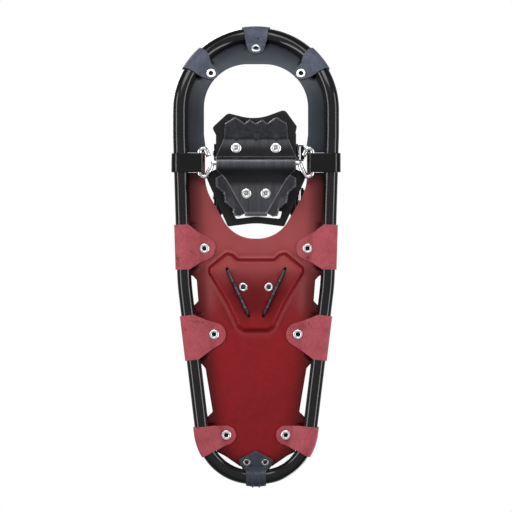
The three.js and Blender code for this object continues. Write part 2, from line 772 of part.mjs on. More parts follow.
// ---------------------------------------------------------------- binding
const BASE_LOW = PLATE_Z + STEEL + GAP;
const BASE_MID = BASE_LOW + 4;
const SOLE_TOP = 34;
const TREAD_TOP = 37; // above the wings' flanges, so that the boot rests on it
function wingRivets(side, y) {
  return {
    place: new THREE.Vector3(side * 36, y, BASE_MID),
    up: Z,
    grip: SOLE_TOP + GAP + 2.2 - BASE_MID,
    rim: 5,
    bore: 2.2,
  };
}
const WING_RIVETS = [-1, 1].flatMap((side) =>
  [["front", -140], ["rear", -84]].map(([row, y]) => ({
    name: `${row}_${side < 0 ? "right" : "left"}`,
    ...wingRivets(side, y),
  })),
);

// The moulded base: a plate over the crampon, and a sole whose two legs reach back to a crossbar.
function bindingBase() {
  const plate = roundedPath([
    [-54, -158.6, 4], [-34.6, -176.6, 6], [0, -168, 60], [35.3, -181, 6], [50.4, -160.3, 4],
    [47.5, -146, 4], [47.5, -100], [40.5, -94, 6], [14, -50, 6], [-14, -50, 6], [-40.5, -94, 6],
    [-47.5, -100], [-47.5, -146, 4],
  ]);
  const sole = roundedPath([
    [-45, -154, 6], [45, -154, 6], [47.5, -120, 6], [48, -108, 3], [60, -103, 4], [60.4, -95.6, 4],
    [50.1, -71.5, 8], [34.6, -36.9, 3], [0, -41.5, 90], [-34.6, -36.9, 3], [-50.1, -71.5, 8],
    [-60.4, -95.6, 4], [-60, -103, 4], [-48, -108, 3], [-47.5, -120, 6],
  ]);
  const window = roundedPath([
    [-34, -67.5, 3], [-24.5, -46.5, 2.5], [0, -49.5, 60], [29.5, -46.5, 2.5], [36.5, -73, 3], [24, -69, 3],
  ]);
  const ridge = boxSolid([-46, AXLE_Y - 2.6, AXLE_Z + AXLE_R + GAP], [46, AXLE_Y + 2.6, BASE_LOW + 1]);
  const tread = roundedPath([[-24, -117, 4], [24, -117, 4], [24, -90, 4], [-24, -90, 4]]);
  const body = union([
    extrude(plate, BASE_LOW, BASE_MID + 0.3),
    extrude(sole, BASE_MID, SOLE_TOP),
    extrude(tread, SOLE_TOP - 1, TREAD_TOP),
    ridge,
  ]);
  const wells = CRAMPON_RIVETS.map(({ place }) =>
    rod(6.6, new THREE.Vector3(place.x, place.y, BASE_MID), new THREE.Vector3(place.x, place.y, 40)),
  );
  const sockets = WING_RIVETS.map(({ place }) =>
    rod(6, new THREE.Vector3(place.x, place.y, 20), new THREE.Vector3(place.x, place.y, BASE_MID)),
  );
  const open = less(body, [extrude(window, 20, 40), ...wells, ...sockets]);
  return withHoles(open, [...CRAMPON_RIVETS, ...WING_RIVETS]);
}

// ---------------------------------------------------------------- wings and straps
const WING = 2.2;
const WING_X = 48.4; // middle of its wall
const STRAP = 2;
const STRAP_X = WING_X + WING / 2 + GAP + STRAP / 2;
const STRAPS = [
  { name: "toe", y: -128, half: 11, top: 96 },
  { name: "instep", y: -74, half: 12, top: 112 },
];
const SIDE_RIVETS = STRAPS.flatMap((strap) =>
  [-1, 1].map((side) => ({
    name: `${strap.name}_${side < 0 ? "right" : "left"}`,
    side,
    place: new THREE.Vector3(side * (WING_X - WING / 2), strap.y, 54),
    up: new THREE.Vector3(side, 0, 0),
    grip: WING + GAP + STRAP,
    rim: 4.5,
    head: 4.5,
    bore: 2,
  })),
);
const SWING_Y = -47;
const SWING_Z = 50;
const SWING_RIVETS = [-1, 1].map((side) => ({
  name: side < 0 ? "right" : "left",
  side,
  place: new THREE.Vector3(side * (WING_X - WING / 2), SWING_Y, SWING_Z),
  up: new THREE.Vector3(side, 0, 0),
  grip: WING + GAP + STRAP + 0.4,
  play: 0.5,
  rim: 4.5,
  head: 5.5,
  bore: 2,
}));

function wing(side) {
  const z = SOLE_TOP + GAP + WING / 2;
  const bend = arcPoints(WING_X - 6, z + 6, 6, 270, 360, 4);
  const line = [[27, z], ...bend, [WING_X, 70], [WING_X - 2.5, 84]].map(([x, y]) => [side * x, y]);
  const wall = extrude(strip(line, WING), 30, 160, FRONT);
  const outline = roundedPath([
    [-152, 30], [-152, 44, 6], [-142, 68, 8], [-114, 74, 10], [-100, 52, 12], [-86, 64, 10],
    [-66, 76, 10], [-36, 60, 9], [-36, 42, 6], [-56, 30],
  ]);
  return withHoles(
    wall.intersect(extrude(outline, -60, 60, SIDE)),
    [...WING_RIVETS, ...SIDE_RIVETS, ...SWING_RIVETS],
  );
}

// A strap over the boot from one wing to the other.
function overStrap({ y, half, top }) {
  const right = [[STRAP_X, 44], [STRAP_X, 76], [STRAP_X - 2.5, top - 19], [STRAP_X - 8, top - 12]];
  right.push([STRAP_X - 17, top - 6], [STRAP_X - 31, top - 1.5], [10, top]);
  const left = right.map(([x, z]) => [-x, z]).reverse();
  const band = extrude(strip([...right, ...left], STRAP), -y - half, -y + half, FRONT);
  return withHoles(band, SIDE_RIVETS);
}

// The strap round the heel, turning on the wings' rear rivets. It climbs towards the back.
const HEEL_CLIMB = THREE.MathUtils.degToRad(8);
function heelFrame() {
  const back = new THREE.Vector3(0, Math.cos(HEEL_CLIMB), Math.sin(HEEL_CLIMB));
  const up = new THREE.Vector3(0, -Math.sin(HEEL_CLIMB), Math.cos(HEEL_CLIMB));
  return { basis: [X, back, up], origin: new THREE.Vector3(0, SWING_Y, SWING_Z) };
}

function heelStrap() {
  const HALF = 9;
  const { basis, origin } = heelFrame();
  const x = STRAP_X + 0.2;
  const bend = arcPoints(0, 132, x, 90, 0, 10).map(([px, py]) => [px, 132 + (py - 132) * 0.95]);
  const right = [...bend, [x, 60], [x, -HALF]];
  const left = right.map(([px, py]) => [-px, py]).reverse();
  const band = extrude(strip([...left.slice(0, -1), ...right], STRAP), -HALF, HALF, basis, origin);
  const turned = [basis[1], basis[2], X];
  const outline = capsule(0, 0, 220, 0, HALF);
  return withHoles(band.intersect(extrude(outline, -90, 90, turned, origin)), SWING_RIVETS);
}

// ---------------------------------------------------------------- buckles
// A buckle on a strap's outer face: a plate with two ears and a pin, and a cam lever that turns
// on the pin. Drawn as (u up the strap, v across it, w out of it).
const PIN = { u: 4, w: 5 };
function buckle(half) {
  const plate = boxSolid([-11, -half, 0], [11, half, 1.6]);
  const ears = [-1, 1].map((side) => {
    const from = side > 0 ? half - 1.8 : -half;
    return extrude(capsule(PIN.u, PIN.w, PIN.u, 3, 2.6), from, from + 1.8, [X, Z, Y.clone().negate()]);
  });
  const pin = rod(1.3, new THREE.Vector3(PIN.u, -half + 1, PIN.w), new THREE.Vector3(PIN.u, half - 1, PIN.w), 8);
  return union([plate, ...ears, pin]);
}

function lever(half) {
  const wide = half - 2.2;
  const barrel = rod(2.9, new THREE.Vector3(PIN.u, -wide, PIN.w), new THREE.Vector3(PIN.u, wide, PIN.w), 10);
  const bore = rod(1.7, new THREE.Vector3(PIN.u, -wide - 1, PIN.w), new THREE.Vector3(PIN.u, wide + 1, PIN.w), 10);
  const arm = boxSolid([-14, -wide, 4.4], [PIN.u, wide, 6.6]);
  const lip = boxSolid([-14, -wide, 6.4], [-11.5, wide, 7.6]);
  return union([barrel, arm, lip]).subtract(bore);
}

// Puts a piece drawn in a buckle's axes onto its strap.
function onStrap(made, { along, across, out, at }) {
  const m = new THREE.Matrix4().makeBasis(along, across, out).setPosition(at);
  return made.transform(m.toArray());
}

function strapSeat({ y }) {
  return {
    along: Z,
    across: Y.clone(),
    out: X.clone(),
    at: new THREE.Vector3(STRAP_X + STRAP / 2 + GAP, y, 70),
  };
}

const HEEL_SEAT_BACK = 84;
function heelSeat() {
  const { basis, origin } = heelFrame();
  return {
    along: basis[1],
    across: basis[2],
    out: X.clone(),
    at: origin.clone().addScaledVector(basis[1], HEEL_SEAT_BACK).setX(STRAP_X + 0.2 + STRAP / 2 + GAP),
  };
}

// ---------------------------------------------------------------- the assembly
const FINISHES = {
  tube: { color: "#17181b", roughness: 0.3, metalness: 0.5 },
  grey_deck: { color: "#3c414b", roughness: 0.55, metalness: 0 },
  red_deck: { color: "#8a2327", roughness: 0.55, metalness: 0 },
  steel: { color: "#3a3a3e", roughness: 0.4, metalness: 0.8 },
  bright: { color: "#b9bcc0", roughness: 0.25, metalness: 1 },
  moulding: { color: "#1b1c1e", roughness: 0.5, metalness: 0 },
  clip: { color: "#55585e", roughness: 0.5, metalness: 0 },
  rubber: { color: "#101113", roughness: 0.25, metalness: 0 },
  strap: { color: "#222428", roughness: 0.6, metalness: 0 },
  buckle: { color: "#2b2d31", roughness: 0.4, metalness: 0 },
};

const part = new THREE.Group();
part.name = "snowshoe_left";

function add(name, made, finish) {
  const geometry = made.isBufferGeometry ? made : geometryOf(made);
  const mesh = new THREE.Mesh(geometry, new THREE.MeshStandardMaterial(FINISHES[finish]));
  mesh.name = name;
  part.add(mesh);
}

add("frame_tube", frameTube(), "tube");
add("tail_ferrule", tailFerrule(), "bright");
add("tail_clip", tailClip(), "clip");
TAIL_RIVETS.forEach((spec) => add(`tail_rivet_${spec.name}`, rivet(spec), "bright"));
add("nose_deck", noseDeck(), "grey_deck");
NOSE_RIVETS.forEach((spec) => add(`nose_rivet_${spec.name}`, rivet(spec), "bright"));
add("main_deck", mainDeck(), "red_deck");
MAIN_RIVETS.forEach((spec) => add(`deck_rivet_${spec.name}`, rivet(spec), "bright"));
add("heel_crampon", heelCrampon(), "steel");
add("heel_pad", heelPad(), "moulding");
HEEL_RIVETS.forEach((spec) => add(`heel_rivet_${spec.name}`, rivet(spec), "bright"));
add("pivot_axle", axleWire(), "bright");
add("pivot_band_left", pivotBand(1), "rubber");
add("pivot_band_right", pivotBand(-1), "rubber");
add("toe_crampon", toeCrampon(), "steel");
CRAMPON_RIVETS.forEach((spec) => add(`crampon_rivet_${spec.name}`, rivet(spec), "bright"));
add("binding_base", bindingBase(), "moulding");
add("wing_left", wing(1), "moulding");
add("wing_right", wing(-1), "moulding");
WING_RIVETS.forEach((spec) => add(`wing_rivet_${spec.name}`, rivet(spec), "bright"));
STRAPS.forEach((strap) => add(`${strap.name}_strap`, overStrap(strap), "strap"));
SIDE_RIVETS.forEach((spec) => add(`strap_rivet_${spec.name}`, rivet(spec), "bright"));
SWING_RIVETS.forEach((spec) => add(`swing_rivet_${spec.name}`, rivet(spec), "bright"));
add("heel_strap", heelStrap(), "strap");
STRAPS.forEach((strap) => {
  const seat = strapSeat(strap);
  add(`${strap.name}_buckle`, onStrap(buckle(strap.half - 1), seat), "buckle");
  add(`${strap.name}_lever`, onStrap(lever(strap.half - 1), seat), "buckle");
});
add("heel_buckle", onStrap(buckle(9), heelSeat()), "buckle");
add("heel_lever", onStrap(lever(9), heelSeat()), "buckle");

export default part;
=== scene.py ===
"""A left snowshoe, seen from below: black tube frame, grey nose deck, red main deck, steel crampons
and a strap binding. Lengths are in millimetres until a mesh is made, which puts them in metres.
The toe points to -Y, the wearer's left is +X, and the crampons' tips stand on z = 0."""

import math

import bmesh
import bpy
import numpy as np
from mathutils import Matrix, Vector, geometry


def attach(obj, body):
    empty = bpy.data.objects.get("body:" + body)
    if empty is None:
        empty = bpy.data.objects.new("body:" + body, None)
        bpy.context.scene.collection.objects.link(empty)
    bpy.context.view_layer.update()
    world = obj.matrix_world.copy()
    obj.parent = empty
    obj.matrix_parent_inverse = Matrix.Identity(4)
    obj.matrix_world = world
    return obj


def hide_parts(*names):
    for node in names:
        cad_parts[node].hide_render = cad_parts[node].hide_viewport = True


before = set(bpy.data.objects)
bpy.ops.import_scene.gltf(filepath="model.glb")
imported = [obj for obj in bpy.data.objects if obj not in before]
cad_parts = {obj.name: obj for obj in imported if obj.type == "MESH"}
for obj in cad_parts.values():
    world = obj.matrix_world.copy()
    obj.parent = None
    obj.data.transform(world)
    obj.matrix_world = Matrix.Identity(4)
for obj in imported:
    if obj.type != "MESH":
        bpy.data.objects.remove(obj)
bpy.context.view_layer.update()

MM = 0.001
X = Vector((1, 0, 0))
Y = Vector((0, 1, 0))
Z = Vector((0, 0, 1))

# ---------------------------------------------------------------- driving dimensions, as in the CAD
SHEET = 1.4
TUBE_R = 8.75
FRAME_Z = 24.0
NOSE_Y = -274.0
TAIL_Y = 271.7
NOSE_RISE_Y = -180.0
NOSE_RISE_R = 133.0
TAIL_RISE_Y = 170.0
TAIL_RISE_R = 450.0
DECK_OFFSET = 5.7
AXLE_Y = -115.5
AXLE_Z = 21.5
AXLE_R = 3.0
STEEL = 2.0
PLATE_Z = 24.6
PLATEAU_DEPTH = 7.0
SOLE_TOP = 34.0


# ---------------------------------------------------------------- outlines
def rounded(corners, closed=True, chord=1.2):
    """Corners (x, y, radius) joined by straight lines, each corner rounded by an arc."""
    made = []
    count = len(corners)
    for i, (x, y, *rest) in enumerate(corners):
        radius = rest[0] if rest else 0
        here = Vector((x, y))
        if not radius or (not closed and i in (0, count - 1)):
            made.append(here)
            continue
        back = (Vector(corners[i - 1][:2]) - here).normalized()
        on = (Vector(corners[(i + 1) % count][:2]) - here).normalized()
        half = math.acos(max(-1, min(1, back.dot(on)))) / 2
        centre = here + (back + on).normalized() * (radius / math.sin(half))
        start = here + back * (radius / math.tan(half)) - centre
        turn = math.copysign(math.pi - 2 * half, -back.x * on.y + back.y * on.x)
        steps = max(2, math.ceil(radius * abs(turn) / chord))
        for k in range(steps + 1):
            a = turn * k / steps
            made.append(centre + Matrix.Rotation(a, 2) @ start)
    return made


def mirrored(corners):
    """Corners for x > 0, mirrored to give the whole outline."""
    other = [(-c[0], *c[1:]) for c in corners if c[0] > 0]
    return [*corners, *reversed(other)]


def across_middle(line):
    """A line's mirror image, run backwards, without the points on its middle."""
    return [Vector((-p.x, p.y)) for p in reversed(line) if p.x > 0.05]


def rectangle(x, low, high, radius=0, chord=1.2):
    """A rounded rectangle from -x to x and from low to high."""
    corners = [(-x, low), (x, low), (x, high), (-x, high)]
    return rounded([(*corner, radius) for corner in corners], chord=chord)


def resample(points, step, closed=True):
    """The same line with a point at least every step."""
    made = []
    ends = zip(points, points[1:] + points[:1]) if closed else zip(points, points[1:])
    for a, b in ends:
        parts = max(1, math.ceil((b - a).length / step))
        made += [a.lerp(b, k / parts) for k in range(parts)]
    return made if closed else [*made, points[-1]]


def arc(cx, cy, radius, start, end, steps):
    """Points on an arc, with its angles in degrees."""
    angles = (math.radians(start + (end - start) * k / steps) for k in range(steps + 1))
    return [Vector((cx + radius * math.cos(a), cy + radius * math.sin(a))) for a in angles]


def circle(x, y, radius, steps=28):
    return arc(x, y, radius, 0, 360, steps)[:-1]


def capsule(ax, ay, bx, by, radius):
    lean = math.degrees(math.atan2(by - ay, bx - ax))
    return arc(bx, by, radius, lean - 90, lean + 90, 8) + arc(ax, ay, radius, lean + 90, lean + 270, 8)


def inside(points, loop):
    """Which points, as an array, are within a closed loop."""
    edge = np.array([(p.x, p.y) for p in loop])
    after = np.roll(edge, -1, axis=0)
    found = np.zeros(len(points), bool)
    for (ax, ay), (bx, by) in zip(edge, after):
        crosses = (ay > points[:, 1]) != (by > points[:, 1])
        with np.errstate(divide="ignore", invalid="ignore"):
            at = (bx - ax) * (points[:, 1] - ay) / (by - ay) + ax
        found ^= crosses & (points[:, 0] < at)
    return found


def distance(points, loop):
    """How far points are from a closed loop."""
    a = np.array([(p.x, p.y) for p in loop])
    d = np.roll(a, -1, axis=0) - a
    best = np.full(len(points), np.inf)
    for (ax, ay), (dx, dy) in zip(a, d):
        length = dx * dx + dy * dy or 1e-12
        t = np.clip(((points[:, 0] - ax) * dx + (points[:, 1] - ay) * dy) / length, 0, 1)
        best = np.minimum(best, np.hypot(points[:, 0] - ax - t * dx, points[:, 1] - ay - t * dy))
    return best


# ---------------------------------------------------------------- the frame's line
class Line:
    """A plan line that can be read by how far along it a place is."""

    def __init__(self, points):
        self.at = np.array([(p.x, p.y) for p in points])
        steps = np.hypot(*np.diff(self.at, axis=0).T)
        keep = np.concatenate(([True], steps > 1e-6))
        self.at = self.at[keep]
        self.far = np.concatenate(([0], np.cumsum(np.hypot(*np.diff(self.at, axis=0).T))))
        self.length = self.far[-1]

    def point(self, s):
        return Vector((np.interp(s, self.far, self.at[:, 0]), np.interp(s, self.far, self.at[:, 1])))

    def tangent(self, s):
        low, high = max(s - 0.8, 0), min(s + 0.8, self.length)
        return (self.point(high) - self.point(low)).normalized()


FRAME_CORNERS = [
    (0, NOSE_Y),
    (93.4, NOSE_Y, 93),
    (93.4, -150, 400),
    (88, 32.5, 300),
    (59.3, TAIL_Y, 62),
    (0, TAIL_Y),
]
half_frame = Line(rounded(FRAME_CORNERS, closed=False, chord=0.8))


def bend_at(y):
    """The radius of the frame's rise at y, and how far past the start of the rise y is."""
    if y < NOSE_RISE_Y:
        return NOSE_RISE_R, y - NOSE_RISE_Y
    return TAIL_RISE_R, max(y - TAIL_RISE_Y, 0.0)


def rise(y):
    """Height of the frame's centreline above its flat middle."""
    radius, past = bend_at(y)
    return radius - math.sqrt(radius**2 - past**2)


def slope(y):
    radius, past = bend_at(y)
    return past / math.sqrt(radius**2 - past**2)


def up_at(y):
    return Vector((0, -slope(y), 1)).normalized()


def on_frame(x, y):
    return Vector((x, y, FRAME_Z + rise(y)))


def station(side, s):
    """The frame's centre s along its half from the toe, with its own axes: point, inward, up, along."""
    if s < 0:
        side, s = -side, -s
        point, inward, up, along = station(side, s)
        return point, inward, up, -along
    p, t = half_frame.point(s), half_frame.tangent(s)
    up = up_at(p.y)
    along = Vector((side * t.x, t.y, slope(p.y) * t.y)).normalized()
    return on_frame(side * p.x, p.y), up.cross(along) * side, up, along


def far_at_y(y):
    """How far along the frame's half the tube passes y."""
    ys = half_frame.at[:, 1]
    return float(np.interp(y, ys, half_frame.far))


def beside(at, across, above, shift=0.0):
    """A place inward of a station and above the tube's middle. Past the tube it follows the deck."""
    point, inward, up, along = at
    flat = point + inward * across + along * shift
    follow = min(max((across - TUBE_R) / 4, 0), 1)
    near = flat + up * above
    far = on_frame(flat.x, flat.y) + up_at(flat.y) * above
    return near.lerp(far, follow)


def deck_place(x, y):
    """The middle of the deck sheet over a plan point."""
    base = y
    for _ in range(6):
        base = y - up_at(base).y * DECK_OFFSET
    return Vector((x, y, FRAME_Z + rise(base) + up_at(base).z * DECK_OFFSET))


# ---------------------------------------------------------------- meshes
def linked(name, data):
    made = bpy.data.objects.new(name, data)
    bpy.context.scene.collection.objects.link(made)
    return made


def new_object(name, verts, faces, materials, smooth=True, indices=None):
    mesh = bpy.data.meshes.new(name)
    mesh.from_pydata([tuple(c * MM for c in v) for v in verts], [], faces)
    for material in materials:
        mesh.materials.append(material)
    if indices is not None:
        mesh.polygons.foreach_set("material_index", indices)
    mesh.polygons.foreach_set("use_smooth", [smooth] * len(mesh.polygons))
    mesh.validate()
    return linked(name, mesh)


SLIVER = 0.004
TURNED_SIDES = 36


def triangulated(outline, holes, spacing, extra):
    """A plan outline filled with triangles of about the given spacing."""
    loops = [outline, *holes]
    cloud, edges = [], []
    for loop in loops:
        start = len(cloud)
        cloud += loop
        edges += [(start + k, start + (k + 1) % len(loop)) for k in range(len(loop))]
    low = np.min([(p.x, p.y) for p in outline], axis=0)
    high = np.max([(p.x, p.y) for p in outline], axis=0)
    rows = np.arange(low[1] + spacing / 2, high[1], spacing * 0.87)
    columns = np.arange(low[0] + spacing / 2, high[0], spacing)
    grid = [(c + spacing / 2 * (k % 2), r) for k, r in enumerate(rows) for c in columns]
    extra = [(p.x, p.y) for p in extra]
    for points, clear in ((extra, 0.4), (grid, 0.55 * spacing)):
        if not points:
            continue
        points = np.array(points)
        keep = inside(points, outline)
        for hole in holes:
            keep &= ~inside(points, hole)
        points = points[keep]
        for loop in loops:
            points = points[distance(points, loop) > clear]
        if clear > 0.5 and extra and len(points):
            lines = np.array(extra)
            near = [np.min(np.hypot(*(lines - p).T)) for p in points]
            points = points[np.array(near) > clear]
        cloud += [Vector(p) for p in points]
    verts, _, faces, *_ = geometry.delaunay_2d_cdt(cloud, edges, [], 0, 1e-5)
    centres = np.array([(sum((verts[i] for i in f), Vector((0, 0))) / len(f)) for f in faces])
    keep = inside(centres, outline)
    for hole in holes:
        keep &= ~inside(centres, hole)
    faces = [f for f, kept in zip(faces, keep) if kept]
    ordered = []
    for f in faces:
        a, b, c = (verts[i] for i in f[:3])
        turn = (b - a).cross(c - a)
        longest = max((b - a).length, (c - b).length, (a - c).length)
        if abs(turn) > SLIVER * longest * longest:
            ordered.append(f if turn > 0 else f[::-1])
    used = sorted({i for f in ordered for i in f})
    renumber = {old: new for new, old in enumerate(used)}
    return [verts[i] for i in used], [tuple(renumber[i] for i in f) for f in ordered]


def bent_sheet(name, outline, place, thickness, materials, spacing=3.0, holes=(), extra=(),
               edge=0.3, step=None, segments=2, lift=None, shades=None):
    """A sheet cut to an outline and bent by place(s, t), thickened to both sides.

    The first material is on the side that the outline's right-hand normal leaves, the second on
    the other, and the third on the edge."""
    step = step or spacing
    outline = resample(outline, step)
    holes = [resample(h, step) for h in holes]
    verts, faces = triangulated(outline, holes, spacing, list(extra))
    flat = np.array([(v.x, v.y) for v in verts])
    places = [place(v.x, v.y) for v in verts]
    if lift:
        places = [p + Z * h for p, h in zip(places, lift(flat))]
    made = new_object(name, places, faces, materials)
    for shade, values in (shades(flat) if shades else {}).items():
        made.data.attributes.new(shade, "FLOAT", "POINT").data.foreach_set("value", values)
    thicken(made, thickness, len(materials), edge, segments)
    return made


def thicken(made, thickness, count, edge, segments=2):
    solid = made.modifiers.new("thickness", "SOLIDIFY")
    solid.thickness = thickness * MM
    solid.offset = 0
    solid.use_even_offset = False
    solid.use_quality_normals = True
    solid.material_offset = min(1, count - 1)
    solid.material_offset_rim = min(2, count - 1)
    if edge:
        bevel = made.modifiers.new("edge", "BEVEL")
        bevel.width = edge * MM
        bevel.segments = segments
        bevel.limit_method = "ANGLE"
        bevel.angle_limit = math.radians(50)
        bevel.harden_normals = False


def ringed(name, verts, count, materials, closed=False, inner=None):
    """Rings of count places each, joined by quads, with end caps if they aren't closed.

    From the ring inner on, the faces take the second material."""
    rings = len(verts) // count
    faces = []
    for i in range(rings if closed else rings - 1):
        j = (i + 1) % rings
        for k in range(count):
            m = (k + 1) % count
            faces.append((i * count + k, i * count + m, j * count + m, j * count + k))
    indices = [int(inner is not None and i >= inner * count) for i in range(len(faces))]
    if not closed:
        faces += [tuple(reversed(range(count))), tuple(range((rings - 1) * count, rings * count))]
        indices += [0, int(inner is not None)]
    made = new_object(name, verts, faces, materials, indices=indices)
    work = bmesh.new()
    work.from_mesh(made.data)
    bmesh.ops.recalc_face_normals(work, faces=work.faces)
    work.to_mesh(made.data)
    work.free()
    return made


def swept(name, centre, frames, section, materials, closed=False):
    """A closed section carried along places that each have two axes."""
    verts = [c + a * p[0] + b * p[1] for c, (a, b) in zip(centre, frames) for p in section]
    return ringed(name, verts, len(section), materials, closed)


def directions(path, closed):
    """Which way a path runs at each of its points."""
    count = len(path)
    made = []
    for i in range(count):
        before = path[(i - 1) % count] if closed or i else path[i]
        after = path[(i + 1) % count] if closed or i < count - 1 else path[i]
        made.append((after - before).normalized())
    return made


def tube(name, centre, radius, materials, sides=32):
    """A round bar along a line of points, with its section carried without twist."""
    tangents = directions(centre, False)
    side = tangents[0].orthogonal().normalized()
    frames = []
    for t in tangents:
        side = (side - t * side.dot(t)).normalized()
        frames.append((side, t.cross(side)))
    section = [(p.x * radius, p.y * radius) for p in circle(0, 0, 1, sides)]
    return swept(name, centre, frames, section, materials)


def turned(name, profile, place, up, materials, inner=None):
    """A profile of (radius, height) turned about the line through place along up.

    Past the profile's point inner, its faces take the second material."""
    side = up.orthogonal().normalized()
    other = up.cross(side)
    turns = [2 * math.pi * k / TURNED_SIDES for k in range(TURNED_SIDES)]
    verts = []
    for r, h in profile:
        verts += [place + up * h + (side * math.cos(a) + other * math.sin(a)) * r for a in turns]
    return ringed(name, verts, TURNED_SIDES, materials, inner=inner)


def ribbon(name, path, across, width, thickness, materials, closed=False, corner=0.4):
    """A flat band: its width lies along across, and its thickness square to the path."""
    frames = [(across, t.cross(across).normalized()) for t in directions(path, closed)]
    section = rectangle(width / 2, -thickness / 2, thickness / 2, corner, corner * 0.6)
    return swept(name, path, frames, [(p.x, p.y) for p in section], materials, closed)


def joined(name, objects):
    """Several objects, with their modifiers applied, as one."""
    graph = bpy.context.evaluated_depsgraph_get()
    work = bmesh.new()
    materials = []
    for o in objects:
        mesh = bpy.data.meshes.new_from_object(o.evaluated_get(graph))
        for polygon in mesh.polygons:
            material = mesh.materials[polygon.material_index]
            if material not in materials:
                materials.append(material)
            polygon.material_index = materials.index(material)
        work.from_mesh(mesh)
        bpy.data.meshes.remove(mesh)
    made_mesh = bpy.data.meshes.new(name)
    work.to_mesh(made_mesh)
    work.free()
    for material in materials:
        made_mesh.materials.append(material)
    for o in objects:
        bpy.data.objects.remove(o)
    return linked(name, made_mesh)


def piece(made, body, node):
    """Puts a finished piece on its body, in place of its CAD node."""
    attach(made, body)
    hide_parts(node)


# ---------------------------------------------------------------- materials
def add_node(tree, kind, inputs, operation=None):
    """A new node, with each input linked to a socket or set to a value."""
    node = tree.nodes.new("ShaderNode" + kind)
    if operation:
        node.operation = operation
    feed(tree, node, inputs)
    return node


def feed(tree, node, inputs):
    for socket, value in inputs.items():
        if isinstance(value, bpy.types.NodeSocket):
            tree.links.new(value, node.inputs[socket])
        else:
            node.inputs[socket].default_value = value


def maths_on(tree, kind, *values):
    return add_node(tree, "Math", dict(enumerate(values)), kind).outputs[0]


class Look:
    """A procedural material. Its patterns are in metres, on the object's own coordinates."""

    def __init__(self, name, **sockets):
        self.material = bpy.data.materials.new(name)
        self.material.use_nodes = True
        self.tree = self.material.node_tree
        self.bsdf = self.tree.nodes["Principled BSDF"]
        self.paint({socket.replace("_", " "): value for socket, value in sockets.items()})
        self.where = self.add("TexCoord", {}).outputs["Object"]

    def add(self, kind, inputs, operation=None):
        return add_node(self.tree, kind, inputs, operation)

    def paint(self, inputs):
        feed(self.tree, self.bsdf, inputs)

    def colour(self, value):
        self.paint({"Base Color": value})

    def rough(self, value, low, high):
        self.paint({"Roughness": self.ramp(value, (0.3, low), (0.7, high))})

    def maths(self, kind, *values):
        return maths_on(self.tree, kind, *values)

    def stretched(self, x, y, z):
        return self.add("Mapping", {"Vector": self.where, "Scale": (x, y, z)}).outputs["Vector"]

    def noise(self, scale, detail=4.0, rough=0.55, where=None, distortion=0.0):
        inputs = {"Vector": where or self.where, "Scale": scale, "Detail": detail,
                  "Roughness": rough, "Distortion": distortion}
        return self.add("TexNoise", inputs).outputs["Fac"]

    def cells(self, scale):
        return self.add("TexVoronoi", {"Vector": self.where, "Scale": scale}).outputs["Distance"]

    def attribute(self, name):
        node = self.add("Attribute", {})
        node.attribute_name = name
        return node.outputs["Fac"]

    def ramp(self, value, low, high):
        """value read between two stops, each a (position, grey or colour)."""
        node = self.add("ValToRGB", {"Fac": value})
        for mark, (position, colour) in zip(node.color_ramp.elements, (low, high)):
            mark.position = position
            grey = isinstance(colour, (int, float))
            mark.color = (colour, colour, colour, 1) if grey else (*colour, 1)
        return node.outputs["Color"]

    def mix(self, a, b, share):
        """Colour a, giving way to colour b by a share."""
        node = self.add("Mix", {})
        node.data_type = "RGBA"
        a, b = ((*c, 1) if isinstance(c, tuple) else c for c in (a, b))
        feed(self.tree, node, {6: a, 7: b, 0: share})
        return node.outputs[2]

    def worn_edges(self, radius, low, high):
        """Where the surface turns sharply, from its bevelled normal."""
        bevel = self.add("Bevel", {"Radius": radius})
        bevel.samples = 4
        plain = self.add("NewGeometry", {})
        dot = self.add("VectorMath", {0: bevel.outputs[0], 1: plain.outputs["Normal"]}, "DOT_PRODUCT")
        turned_away = self.maths("SUBTRACT", 1.0, dot.outputs["Value"])
        return self.ramp(turned_away, (low, 0.0), (high, 1.0))

    def bump(self, height, distance, strength):
        node = self.add("Bump", {"Height": height, "Distance": distance, "Strength": strength})
        self.paint({"Normal": node.outputs["Normal"]})


def painted_tube():
    look = Look("tube_paint", Specular_IOR_Level=0.15, Coat_Weight=0.55, Coat_Roughness=0.10)
    cloud = look.noise(60, 5)
    dust = look.noise(25, 8, 0.7)
    look.colour(look.ramp(dust, (0.45, (0.003, 0.003, 0.004)), (0.75, (0.0065, 0.0065, 0.0085))))
    look.rough(cloud, 0.20, 0.30)
    look.bump(look.noise(220, 2), 0.00001, 0.2)
    return look.material


def deck_under(name, deep, pale, dark):
    """The smooth lower face of a coated sheet: paler by one point attribute, a painted sheen and
    highlight on the red deck, and darker by another, a painted shade against the tube.
    """
    look = Look(name, Specular_IOR_Level=0.28)
    broad = look.noise(11, 5, 0.6)
    fine = look.noise(150, 6, 0.65)
    shade = look.maths("ADD", look.maths("MULTIPLY", broad, 0.6), look.maths("MULTIPLY", fine, 0.4))
    base = look.ramp(shade, (0.38, tuple(c * 0.86 for c in deep)), (0.62, tuple(c * 1.12 for c in deep)))
    # On the red deck the pale colour is painted sheen and highlight; the dark colour is painted shade
    # against the tube.
    highlight_and_wear = look.attribute("highlight_and_wear")
    patchy = look.maths("MULTIPLY", highlight_and_wear, look.ramp(broad, (0.30, 0.72), (0.62, 1.0)))
    base = look.mix(base, pale, patchy)
    base = look.mix(base, dark, look.maths("MULTIPLY", look.attribute("painted_shade"), 0.9))
    scratches = look.ramp(look.noise(70, 8, 0.8, look.stretched(1, 0.14, 1)), (0.62, 0.0), (0.72, 0.16))
    look.colour(look.mix(base, tuple(min(1, c * 1.5 + 0.02) for c in pale), scratches))
    look.rough(fine, 0.36, 0.52)
    look.bump(look.noise(700, 3, 0.6), 0.00016, 0.3)
    return look.material


